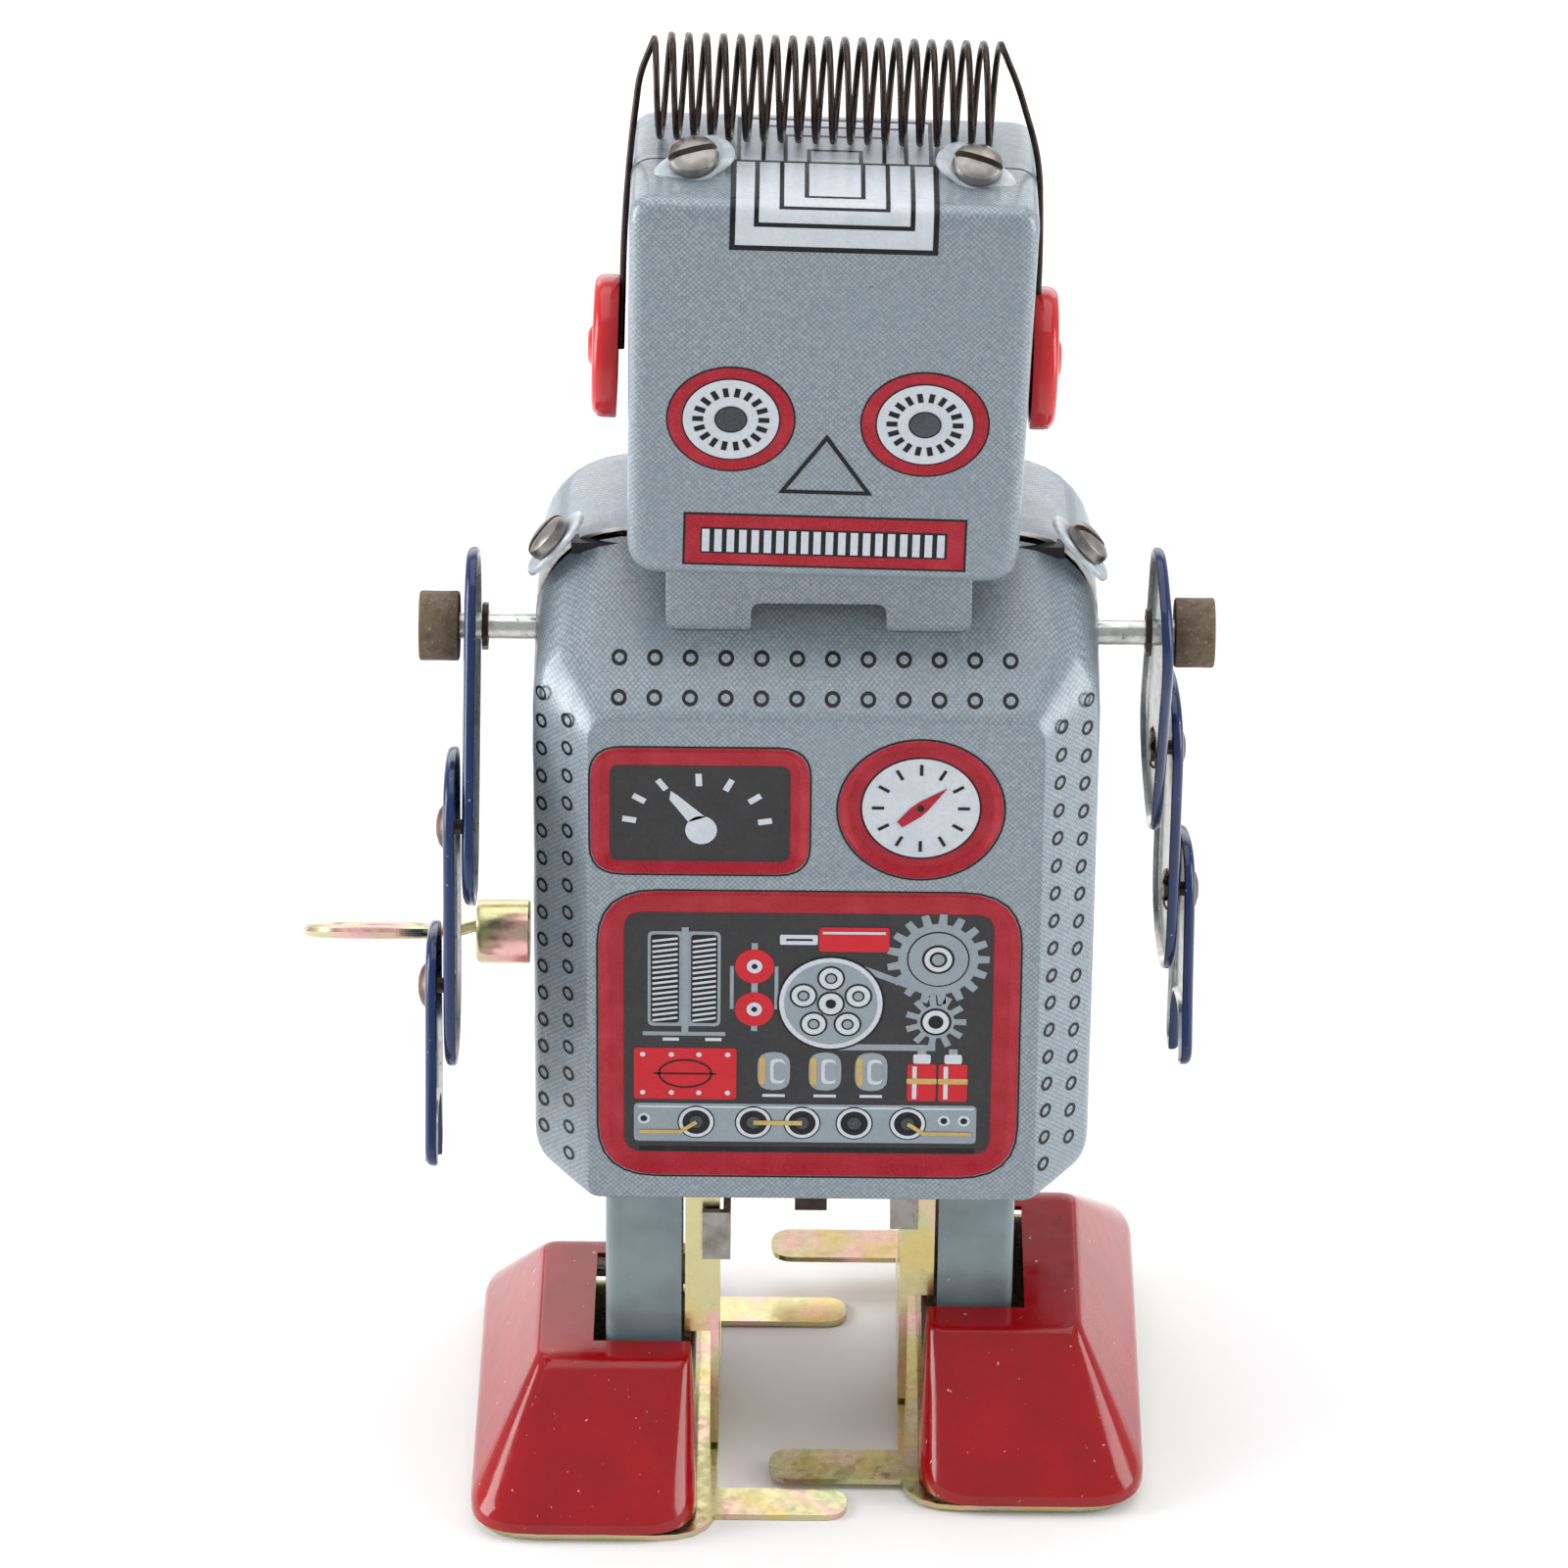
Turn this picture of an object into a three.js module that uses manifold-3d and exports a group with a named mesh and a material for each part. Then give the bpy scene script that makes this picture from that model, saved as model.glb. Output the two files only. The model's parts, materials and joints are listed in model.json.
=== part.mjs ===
// Clockwork tin toy robot with a coil-spring antenna, riveted arms and two stepping feet.
// Millimetres, +Z up. The robot faces -Y and its left-hand pieces are on the -X side.
// It is laid out about its own middle plane, X = 0, with the floor at Z = 0, and the whole
// group is then moved so that the origin is the middle of its bounding box, on the floor.

import * as THREE from "three";
import { mergeVertices } from "three/addons/utils/BufferGeometryUtils.js";
import Module from "manifold-3d";

const wasm = await Module();
wasm.setup();

// ---- driving dimensions ----
const WALL = 0.7;
const GAP = 0.35;

const BODY = { halfWidth: 22.4, front: -13, back: 16, bottom: 26.6, top: 80.5 };
const CHEST_BREAK = 70.1;
const PANEL_HALF_WIDTH = 18;
const BEVEL_DEPTH = 5;
const RECESS = 0.8;

const HEAD = { halfWidth: 15.7, front: -11, back: 8, bottom: 81.1, top: 112.75 };
const HEAD_SEAM = -2.4;
const HEAD_LEAN = 1.2;
const HEAD_SHIFT = 0.3;
const NECK = { front: -7.2, sheet: 1.0, tab: 8.8 };
const EAR = { radius: 5.6, reach: 2.4, y: -1.6, z: 96.5 };
const SPRING = { turns: 20, halfLength: 13, radius: 3.95, wire: 0.55, y: 1.4 };
const SCREW = { radius: 1.95, height: 1.05, slot: 0.6 };

const AXLE = { y: 0, z: 71.6, radius: 1.05, end: 32.4 };
const UPPER_ARM = { inner: 26.9, length: 16, radius: 6.3, sheet: 1.1 };
const FOREARM = { inner: 28.4, length: 13.4, radius: 6.2, sheet: 1.1 };
const HAND = { inner: 29.9, length: 15.6, radius: 5, sheet: 1.1 };
const ARM_SWING = { left: [-30, 21, -2], right: [28, -25, -11] };

const KEY_AXIS = { y: 1, z: 43.4, radius: 1.3 };
const KEY = { barrel: 2.6, start: -23, neck: -27.4, tip: -41.4, halfWing: 6.4, sheet: 1.1, tilt: -27 };

// Each leg rocks on a fixed stub pin that its slot rides on. The right leg is drawn mid-step:
// lifted by twice the crank's throw and swung back, so that it stands on its toe.
const HIP = { y: -2.8, z: 46, radius: 1.1 };
const STEP_ANGLE = 6;
const STEP_LIFT = 2.0;
const LEG = { inner: 7.4, split: 10.4, outer: 16.7, front: -8.8, back: 3.2, top: 52, sheet: 0.7 };
const FOOT = { inner: 9.1, outer: 27.5, front: -23, back: 18, top: 11.2, facetFront: -12.6, facetBack: 6.3,
  ridge: 22.2 };
const SOLE = { sheet: 0.5, fingerWidth: 4, reach: 3.2, fingerY: [-17.2, 13.0] };

const MOTOR = { inner: 5, outer: 5.8, front: -9.8, back: 13.8, bottom: 27.4, top: 59.5 };
const PILLARS = [[-7.6, 33.4], [12.2, 37.5], [1, 56.6]];
const GEAR = { module: 0.5, clearance: 0.25, sheet: 0.8 };
const GREAT_WHEEL = { teeth: 40, x: -4 };
const SECOND_WHEEL = { teeth: 24, pinion: 10, x: 4 };
const CRANK = { pinion: 10, y: -2.8, z: 31.5, radius: 0.9, throw: 1.0, pin: 0.8 };

// ---- solids and helper shapes ----
function solid(geometry) {
  const plain = geometry.clone();
  plain.deleteAttribute("normal");
  plain.deleteAttribute("uv");
  const merged = mergeVertices(plain, 1e-4);
  return new wasm.Manifold(new wasm.Mesh({
    numProp: 3,
    vertProperties: new Float32Array(merged.attributes.position.array),
    triVerts: new Uint32Array(merged.index.array),
  }));
}

function geometryOf(body) {
  const mesh = body.getMesh();
  const geometry = new THREE.BufferGeometry();
  geometry.setAttribute("position", new THREE.BufferAttribute(new Float32Array(mesh.vertProperties), 3));
  geometry.setIndex(new THREE.BufferAttribute(new Uint32Array(mesh.triVerts), 1));
  geometry.computeVertexNormals();
  return geometry;
}

function union(...bodies) {
  return bodies.reduce((sum, body) => sum.add(body));
}

// An outline through corner points [a, b, setback]: each corner is rounded from its setback.
function outline(corners) {
  const shape = new THREE.Shape();
  corners.forEach(([a, b, setback = 0], i) => {
    const corner = new THREE.Vector2(a, b);
    const before = new THREE.Vector2(...corners.at(i - 1));
    const after = new THREE.Vector2(...corners[(i + 1) % corners.length]);
    const start = corner.clone().add(before.sub(corner).setLength(setback));
    const end = corner.clone().add(after.sub(corner).setLength(setback));
    if (i === 0) shape.moveTo(start.x, start.y);
    else shape.lineTo(start.x, start.y);
    if (setback > 0) shape.quadraticCurveTo(a, b, end.x, end.y);
  });
  shape.closePath();
  return shape;
}

function rectangle(a0, b0, a1, b1, setback = 0) {
  return outline([[a0, b0, setback], [a1, b0, setback], [a1, b1, setback], [a0, b1, setback]]);
}

function circle(a, b, radius) {
  return new THREE.Shape().absarc(a, b, radius, 0, 2 * Math.PI);
}

const X = new THREE.Vector3(1, 0, 0);
const Y = new THREE.Vector3(0, 1, 0);
const Z = new THREE.Vector3(0, 0, 1);
const FRONT_VIEW = new THREE.Matrix4().makeBasis(X, Z, Y.clone().negate());
const SIDE_VIEW = new THREE.Matrix4().makeBasis(Y, Z, X);
const PLAN_VIEW = new THREE.Matrix4();

function prism(shape, view, from, to, segments = 5) {
  const geometry = new THREE.ExtrudeGeometry(shape, {
    depth: to - from, bevelEnabled: false, curveSegments: segments,
  });
  geometry.translate(0, 0, view === FRONT_VIEW ? -to : from);
  return solid(geometry.applyMatrix4(view));
}

const frontPrism = (shape, y0, y1, segments) => prism(shape, FRONT_VIEW, y0, y1, segments);
const sidePrism = (shape, x0, x1, segments) => prism(shape, SIDE_VIEW, x0, x1, segments);
const planPrism = (shape, z0, z1, segments) => prism(shape, PLAN_VIEW, z0, z1, segments);

function block(x0, x1, y0, y1, z0, z1) {
  return planPrism(rectangle(x0, y0, x1, y1), z0, z1);
}

// A round bar along X.
function barX(y, z, radius, x0, x1, segments = 6) {
  return sidePrism(circle(y, z, radius), Math.min(x0, x1), Math.max(x0, x1), segments);
}

// A turned piece: its profile [radius, height] goes from axis to axis, along +Z.
function turned(profile, segments = 20) {
  return solid(new THREE.LatheGeometry(profile.map(([r, h]) => new THREE.Vector2(r, h)), segments)
    .rotateX(Math.PI / 2));
}

// ---- pieces, materials and groups ----
const paint = (color, roughness, metalness) =>
  new THREE.MeshStandardMaterial({ color, roughness, metalness });
const PRINTED_TIN = paint(0x96a3ad, 0.38, 0.25);
const PLAIN_GRAY_TIN = paint(0x738790, 0.4, 0.25);
const RED_ENAMEL = paint(0xaa1e23, 0.22, 0.1);
const BLUE_ENAMEL = paint(0x233c82, 0.22, 0.15);
const ZINC = paint(0xc6c98c, 0.35, 0.8);
const STEEL = paint(0x8b8987, 0.35, 0.9);
const DARK_WIRE = paint(0x2a201c, 0.4, 0.7);
const BRASS = paint(0xb99a4a, 0.35, 0.9);
const RUBBER = paint(0x6e5f48, 0.8, 0);

const robot = new THREE.Group();

function group(parent = robot) {
  const made = new THREE.Group();
  parent.add(made);
  return made;
}

function piece(name, body, material, parent = robot) {
  const mesh = new THREE.Mesh(geometryOf(body), material);
  mesh.name = name;
  parent.add(mesh);
  return mesh;
}

const SIDES = [["left", -1], ["right", 1]];

// ---- body shells ----
// The full body volume, shrunk by an inset: a front outline, a plan with bevelled front
// corners, and a side outline with the sloping chest top, intersected.
function bodyVolume(inset, bottom) {
  const half = BODY.halfWidth - inset;
  const front = BODY.front + inset;
  const back = BODY.back - inset;
  const top = BODY.top - inset;
  const panel = PANEL_HALF_WIDTH - 0.45 * inset;
  const bevel = BODY.front + BEVEL_DEPTH + 0.4 * inset;
  const face = frontPrism(
    outline([[-half, bottom, 3.6], [half, bottom, 3.6], [half, top, 8], [-half, top, 8]]),
    front - 1, back + 1);
  const plan = planPrism(
    outline([[-panel, front, 0.8], [panel, front, 0.8], [half, bevel, 0.8], [half, back, 4],
      [-half, back, 4], [-half, bevel, 0.8]]),
    bottom - 1, top + 1, 4);
  const side = sidePrism(
    outline([[front, bottom], [back, bottom], [back, top, 3], [0, top, 1.5],
      [front, CHEST_BREAK - 0.4 * inset, 2]]),
    -half - 1, half + 1, 4);
  return face.intersect(plan).intersect(side);
}

// The three shallow windows pressed into the front, grown sideways by the wall for their backs.
function frontRecesses(grow, depth) {
  const floor = BODY.front + depth;
  const gauge = rectangle(-17.8 - grow, 56.4 - grow, -0.5 + grow, 67.6 + grow, 1.6);
  const dial = circle(8.3, 62.2, 6.4 + grow);
  const panel = rectangle(-17.2 - grow, 28.8 - grow, 16.4 + grow, 54.8 + grow, 3.2);
  return [gauge, dial, panel].map((shape) => frontPrism(shape, BODY.front - 1, floor));
}

const bodyOuter = bodyVolume(0, BODY.bottom);
const bodyInner = bodyVolume(WALL, BODY.bottom - 4);
const axleHoles = barX(AXLE.y, AXLE.z, AXLE.radius + GAP, -24, 24);
const arborHole = barX(KEY_AXIS.y, KEY_AXIS.z, KEY_AXIS.radius + GAP, -24, -20);

const frontHalf = bodyOuter.intersect(block(-30, 30, -20, -0.2, 20, 90));
const frontHollow = frontRecesses(WALL, RECESS + WALL).reduce((hollow, back) => hollow.subtract(back), bodyInner);
const frontShell = frontRecesses(0, RECESS).reduce((shell, recess) => shell.subtract(recess), frontHalf)
  .subtract(frontHollow).subtract(axleHoles).subtract(arborHole);
const neckSlots = [-1, 1].map((side) => block(side * NECK.tab - 2.6, side * NECK.tab + 2.6,
  NECK.front - GAP, NECK.front + NECK.sheet + GAP, 70, 80));
piece("body_front_shell", frontShell.subtract(union(...neckSlots)), PRINTED_TIN);

const backShell = bodyOuter.intersect(block(-30, 30, 0.3, 20, 20, 90))
  .subtract(bodyInner).subtract(axleHoles).subtract(arborHole);
piece("body_back_shell", backShell, PRINTED_TIN);

// ---- head ----
// The head and everything fixed to it lean a little towards +X on the neck.
const headPivot = group();
headPivot.position.set(HEAD_SHIFT, 0, HEAD.bottom);
headPivot.rotation.y = THREE.MathUtils.degToRad(HEAD_LEAN);
const head = group(headPivot);
head.position.z = -HEAD.bottom;

function headVolume(inset) {
  const half = HEAD.halfWidth - inset;
  const front = HEAD.front + inset;
  const back = HEAD.back - inset;
  const bottom = HEAD.bottom + inset;
  const top = HEAD.top - inset;
  const face = frontPrism(
    outline([[-half + 0.5, bottom, 2.7], [half - 0.5, bottom, 2.7], [half, top, 1.6], [-half, top, 1.6]]),
    front - 1, back + 1);
  const plan = planPrism(rectangle(-half, front, half, back, 1.4), bottom - 1, top + 1, 4);
  const side = sidePrism(rectangle(front, bottom, back, top, 1.6), -half - 1, half + 1, 4);
  return face.intersect(plan).intersect(side);
}

const headWalls = headVolume(0).subtract(headVolume(WALL));
const neckHole = block(-13.4, 13.4, -8.6, -4.0, HEAD.bottom - 1, HEAD.bottom + 2);
piece("head_front_shell", headWalls.intersect(block(-20, 20, -20, HEAD_SEAM - 0.15, 70, 120))
  .subtract(neckHole), PRINTED_TIN, head);
piece("head_back_shell", headWalls.intersect(block(-20, 20, HEAD_SEAM + 0.15, 20, 70, 120)), PRINTED_TIN, head);

// The sheet neck: an arched front plate that stands on the chest slope, with a tab on each
// leg that goes down through a slot in the chest.
const neckPlate = frontPrism(rectangle(-12, 76.1, 12, HEAD.bottom + 3, 0.6), NECK.front, NECK.front + NECK.sheet)
  .subtract(frontPrism(rectangle(-5.6, 70, 5.6, 79.6, 2.2), -9, -5));
const neckTabs = [-1, 1].map((side) => block(
  side * NECK.tab - 2.2, side * NECK.tab + 2.2, NECK.front, NECK.front + NECK.sheet, 72.5, 76.6));
piece("neck_bracket", union(neckPlate, ...neckTabs), PLAIN_GRAY_TIN);

// ---- ears, screws and the antenna spring ----
const earProfile = [[0, 0], [EAR.radius, 0], [EAR.radius, 0.9], [EAR.radius - 0.7, 1.7], [EAR.radius - 2.2, 2.1],
  [1.5, 2.1], [1.3, EAR.reach], [0, EAR.reach]];
for (const [name, side] of SIDES) {
  const ear = piece(`ear_${name}`, turned(earProfile, 28), RED_ENAMEL, head);
  ear.rotation.y = side * Math.PI / 2;
  ear.position.set(side * (HEAD.halfWidth + 0.75), EAR.y, EAR.z);
}

// A pan-head screw along +Z, with its sheet-metal lug below the head.
function screw(lugLength) {
  const pan = turned([[0, 0.3], [SCREW.radius, 0.3], [SCREW.radius, 0.85], [SCREW.radius * 0.72, 0.3 + SCREW.height],
    [0, 0.3 + SCREW.height]], 16);
  const slot = block(-3, 3, -SCREW.slot / 2, SCREW.slot / 2, 0.8, 3);
  const lug = planPrism(rectangle(-lugLength / 2, -2.1, lugLength / 2, 2.1, 1.6), -0.4, 0.4);
  return union(pan.subtract(slot), lug);
}

for (const [name, side] of SIDES) {
  const headScrew = piece(`head_screw_${name}`, screw(5.2), STEEL, head);
  headScrew.position.set(side * 10.8, HEAD_SEAM - 1.8, HEAD.top + 0.75);
  const shoulderScrew = piece(`shoulder_screw_${name}`, screw(6.4), STEEL);
  shoulderScrew.rotation.y = side * 0.85;
  shoulderScrew.position.set(side * 21.1, 0, BODY.top - 1.9);
}

// The antenna: a close coil lying across the head top, with its two tails down the head's sides.
class AntennaCurve extends THREE.Curve {
  getPoint(t, target = new THREE.Vector3()) {
    const angle = 2 * Math.PI * SPRING.turns * t;
    return target.set(
      SPRING.halfLength * (2 * t - 1),
      SPRING.y - SPRING.radius * Math.sin(angle),
      HEAD.top + SPRING.wire + SPRING.radius * (1 - Math.cos(angle)));
  }
}

const wireSection = new THREE.Shape(Array.from({ length: 6 }, (unused, i) =>
  new THREE.Vector2(Math.cos(i * Math.PI / 3), Math.sin(i * Math.PI / 3)).multiplyScalar(SPRING.wire / 2)));
piece("antenna_spring", solid(new THREE.ExtrudeGeometry(wireSection, {
  extrudePath: new AntennaCurve(), steps: SPRING.turns * 12, bevelEnabled: false,
})), DARK_WIRE, head);

// ---- shoulder axle, bushes and washers ----
piece("shoulder_axle", barX(AXLE.y, AXLE.z, AXLE.radius, -AXLE.end, AXLE.end), STEEL);
for (const [name, side] of SIDES) {
  const washer = barX(AXLE.y, AXLE.z, 1.9, side * 26.1, side * 26.6).subtract(axleBore(side));
  piece(`arm_washer_${name}`, washer, DARK_WIRE);
  const bush = barX(AXLE.y, AXLE.z, 2.8, side * 28.4, side * 31.6, 8).subtract(axleBore(side));
  piece(`arm_bush_${name}`, bush, RUBBER);
}

function axleBore(side) {
  return barX(AXLE.y, AXLE.z, AXLE.radius + GAP, side * 20, side * 34);
}

// ---- arms ----
// A pressed link hangs down from its pivot at the origin: a shallow tray with a rolled rim,
// open towards the body, with a hole at each pivot. The outside of the sheet is at +X.
function armLink({ length, radius, sheet }, holes) {
  const stadium = (r) => rectangle(-r, -length - r, r, r, r * 0.95);
  const tray = sidePrism(stadium(radius), 0, sheet, 6)
    .subtract(sidePrism(stadium(radius - 0.8), -1, sheet - 0.55, 6));
  return holes.reduce((link, [z, r]) => link.subtract(barX(0, z, r, -1, 3)), tray);
}

// The hand: a wrist plate that widens into a claw with a long rear and a short front prong.
function claw({ length, radius, sheet }) {
  const palm = sidePrism(outline([[-radius, radius, 4.5], [-radius - 0.6, -7, 2], [-radius - 1.4, -length + 2.6, 1.6],
    [-radius + 1.6, -length + 1.4, 0.8], [-3.2, -9.5, 2.4], [3.0, -9.5, 2.4], [radius - 1.2, -length - 0.4, 0.8],
    [radius + 1.4, -length + 0.4, 1.6], [radius + 0.6, -7, 2], [radius, radius, 4.5]]), 0, sheet, 5);
  return palm.subtract(barX(0, 0, 0.95, -1, 3));
}

// A rivet along X: a low dome outside, a shank, and splayed petals inside.
function rivet(grip) {
  const profile = [[0, -0.7], [1.6, -0.7], [1.6, -0.3], [0.6, -0.3], [0.6, grip], [1.9, grip], [1.5, grip + 0.55],
    [0, grip + 0.75]];
  return solid(new THREE.LatheGeometry(profile.map(([r, h]) => new THREE.Vector2(r, h)), 16)
    .rotateZ(-Math.PI / 2));
}

for (const [name, side] of SIDES) {
  const [shoulderSwing, elbowSwing, wristSwing] = ARM_SWING[name].map(THREE.MathUtils.degToRad);
  const mirror = (body) => (side > 0 ? body : body.mirror([1, 0, 0]));

  const shoulder = group();
  shoulder.position.set(side * UPPER_ARM.inner, AXLE.y, AXLE.z);
  shoulder.rotation.x = shoulderSwing;
  const upperArm = armLink(UPPER_ARM, [[0, AXLE.radius + GAP], [-UPPER_ARM.length, 0.95]]);
  piece(`upper_arm_${name}`, mirror(upperArm), BLUE_ENAMEL, shoulder);

  const elbow = group(shoulder);
  elbow.position.set(side * (FOREARM.inner - UPPER_ARM.inner), 0, -UPPER_ARM.length);
  elbow.rotation.x = elbowSwing;
  const forearm = armLink(FOREARM, [[0, 0.95], [-FOREARM.length, 0.95]]);
  piece(`forearm_${name}`, mirror(forearm), BLUE_ENAMEL, elbow);

  const wrist = group(elbow);
  wrist.position.set(side * (HAND.inner - FOREARM.inner), 0, -FOREARM.length);
  wrist.rotation.x = wristSwing;
  piece(`hand_${name}`, mirror(claw(HAND)), BLUE_ENAMEL, wrist);

  const elbowRivet = piece(`elbow_rivet_${name}`, mirror(rivet(1.8)), STEEL, shoulder);
  elbowRivet.position.set(side * (UPPER_ARM.sheet - 0.3), 0, -UPPER_ARM.length);
  const wristRivet = piece(`wrist_rivet_${name}`, mirror(rivet(1.8)), STEEL, elbow);
  wristRivet.position.set(side * (FOREARM.sheet - 0.3), 0, -FOREARM.length);
}

// ---- clockwork motor ----
// A spur wheel in the side view, with slim straight-sided teeth and a round bore.
function gearOutline(y, z, teeth, turn) {
  const pitch = teeth * GEAR.module / 2;
  const root = pitch - 1.15 * GEAR.module;
  const tip = pitch + 0.85 * GEAR.module;
  const step = 2 * Math.PI / teeth;
  const corners = [];
  for (let tooth = 0; tooth < teeth; tooth += 1) {
    const middle = turn + tooth * step;
    for (const [radius, share] of [[root, -0.27], [tip, -0.1], [tip, 0.1], [root, 0.27]]) {
      const angle = middle + share * step;
      corners.push(new THREE.Vector2(y + radius * Math.cos(angle), z + radius * Math.sin(angle)));
    }
  }
  return new THREE.Shape(corners);
}

function gear(y, z, teeth, turn, x, sheet = GEAR.sheet) {
  return sidePrism(gearOutline(y, z, teeth, turn), x - sheet / 2, x + sheet / 2);
}

// The second wheel sits where its pinion meets the great wheel and its teeth meet the crank pinion.
const meshDistance = (a, b) => (a + b) * GEAR.module / 2 + GEAR.clearance;
const greatCentre = new THREE.Vector2(KEY_AXIS.y, KEY_AXIS.z);
const crankCentre = new THREE.Vector2(CRANK.y, CRANK.z);
const toGreat = meshDistance(GREAT_WHEEL.teeth, SECOND_WHEEL.pinion);
const toCrank = meshDistance(SECOND_WHEEL.teeth, CRANK.pinion);
const between = greatCentre.distanceTo(crankCentre);
const along = (toGreat ** 2 - toCrank ** 2 + between ** 2) / (2 * between);
const direction = crankCentre.clone().sub(greatCentre).normalize();
const secondCentre = greatCentre.clone().addScaledVector(direction, along)
  .add(new THREE.Vector2(-direction.y, direction.x).multiplyScalar(Math.sqrt(toGreat ** 2 - along ** 2)));

// The turn that puts a gap of one wheel on the line to its partner's tooth at tooth angle `turn`.
function meshedTurn(centre, teeth, partnerCentre, partnerTeeth, partnerTurn) {
  const toPartner = partnerCentre.clone().sub(centre).angle();
  const partnerPhase = ((toPartner + Math.PI - partnerTurn) * partnerTeeth) / (2 * Math.PI);
  return toPartner + ((0.5 + partnerPhase) * 2 * Math.PI) / teeth;
}

const secondTurn = meshedTurn(secondCentre, SECOND_WHEEL.pinion, greatCentre, GREAT_WHEEL.teeth, 0);
const crankTurn = meshedTurn(crankCentre, CRANK.pinion, secondCentre, SECOND_WHEEL.teeth, secondTurn);

const greatArbor = barX(KEY_AXIS.y, KEY_AXIS.z, KEY_AXIS.radius, KEY.start + 0.4, MOTOR.outer + 0.7);
piece("great_wheel", union(gear(KEY_AXIS.y, KEY_AXIS.z, GREAT_WHEEL.teeth, 0, GREAT_WHEEL.x), greatArbor), BRASS);
piece("second_wheel", union(
  gear(secondCentre.x, secondCentre.y, SECOND_WHEEL.teeth, secondTurn, SECOND_WHEEL.x),
  gear(secondCentre.x, secondCentre.y, SECOND_WHEEL.pinion, secondTurn, GREAT_WHEEL.x, 1.2),
  barX(secondCentre.x, secondCentre.y, 0.8, -MOTOR.outer - 0.5, MOTOR.outer + 0.5)), BRASS);

const crankParts = [
  gear(CRANK.y, CRANK.z, CRANK.pinion, crankTurn, SECOND_WHEEL.x, 1.2),
  barX(CRANK.y, CRANK.z, CRANK.radius, -MOTOR.outer - 0.5, MOTOR.outer + 0.5),
];
for (const [name, side] of SIDES) {
  crankParts.push(barX(CRANK.y, CRANK.z, 2.3, side * (MOTOR.outer + 0.4), side * (MOTOR.outer + 1.1)));
  crankParts.push(barX(CRANK.y, CRANK.z + side * CRANK.throw, CRANK.pin,
    side * (MOTOR.outer + 1.0), side * (LEG.inner + 2.2)));
}
piece("crankshaft", union(...crankParts), STEEL);

// The mainspring: a flat spiral strip around the arbor.
function spiral(turns, from, to, thickness) {
  const steps = turns * 14;
  const inner = [];
  const outer = [];
  for (let i = 0; i <= steps; i += 1) {
    const angle = 2 * Math.PI * turns * i / steps;
    const radius = from + (to - from) * i / steps;
    const ray = new THREE.Vector2(Math.cos(angle), Math.sin(angle));
    inner.push(ray.clone().multiplyScalar(radius).add(greatCentre));
    outer.unshift(ray.clone().multiplyScalar(radius + thickness).add(greatCentre));
  }
  return new THREE.Shape([...inner, ...outer]);
}
piece("mainspring", sidePrism(spiral(5, 2.2, 8.2, 0.5), -2.9, 2.9), STEEL);

const arborBores = [[greatCentre, KEY_AXIS.radius], [secondCentre, 0.8], [crankCentre, CRANK.radius]];
for (const [name, side] of SIDES) {
  let plate = sidePrism(rectangle(MOTOR.front, MOTOR.bottom, MOTOR.back, MOTOR.top, 2),
    Math.min(side * MOTOR.inner, side * MOTOR.outer), Math.max(side * MOTOR.inner, side * MOTOR.outer));
  for (const [centre, radius] of arborBores) {
    plate = plate.subtract(barX(centre.x, centre.y, radius + GAP, side * 3, side * 8));
  }
  const stub = barX(HIP.y, HIP.z, HIP.radius, side * MOTOR.inner, side * (LEG.inner + 2.2));
  piece(`motor_plate_${name}`, plate.add(stub), ZINC);
}
PILLARS.forEach(([y, z], i) => {
  piece(`motor_pillar_${i + 1}`, barX(y, z, 1.2, -MOTOR.inner + GAP, MOTOR.inner - GAP), STEEL);
});
piece("stop_lever", union(block(-1.3, 1.3, -11.2, -10.4, 24.6, 32), block(-1.3, 1.3, -11.2, -10.0, 30.8, 32)), DARK_WIRE);

// ---- winding key ----
// A rolled sheet barrel on the arbor, a tapering neck and a flat looped wing.
const wingHoop = rectangle(KEY.tip, -KEY.halfWing, -29.6, KEY.halfWing, 5);
const wingHole = rectangle(KEY.tip + 2.4, -KEY.halfWing + 2.4, -31.6, KEY.halfWing - 2.4, 3.2);
const wing = planPrism(wingHoop, -KEY.sheet / 2, KEY.sheet / 2, 6)
  .subtract(planPrism(wingHole, -2, 2, 6))
  .add(block(-30.4, KEY.neck + 0.4, -1.7, 1.7, -KEY.sheet / 2, KEY.sheet / 2));
const key = piece("winding_key", wing.add(barX(0, 0, KEY.barrel, KEY.neck, KEY.start)), ZINC);
key.rotation.x = THREE.MathUtils.degToRad(KEY.tilt);
key.position.set(0, KEY_AXIS.y, KEY_AXIS.z);

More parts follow.
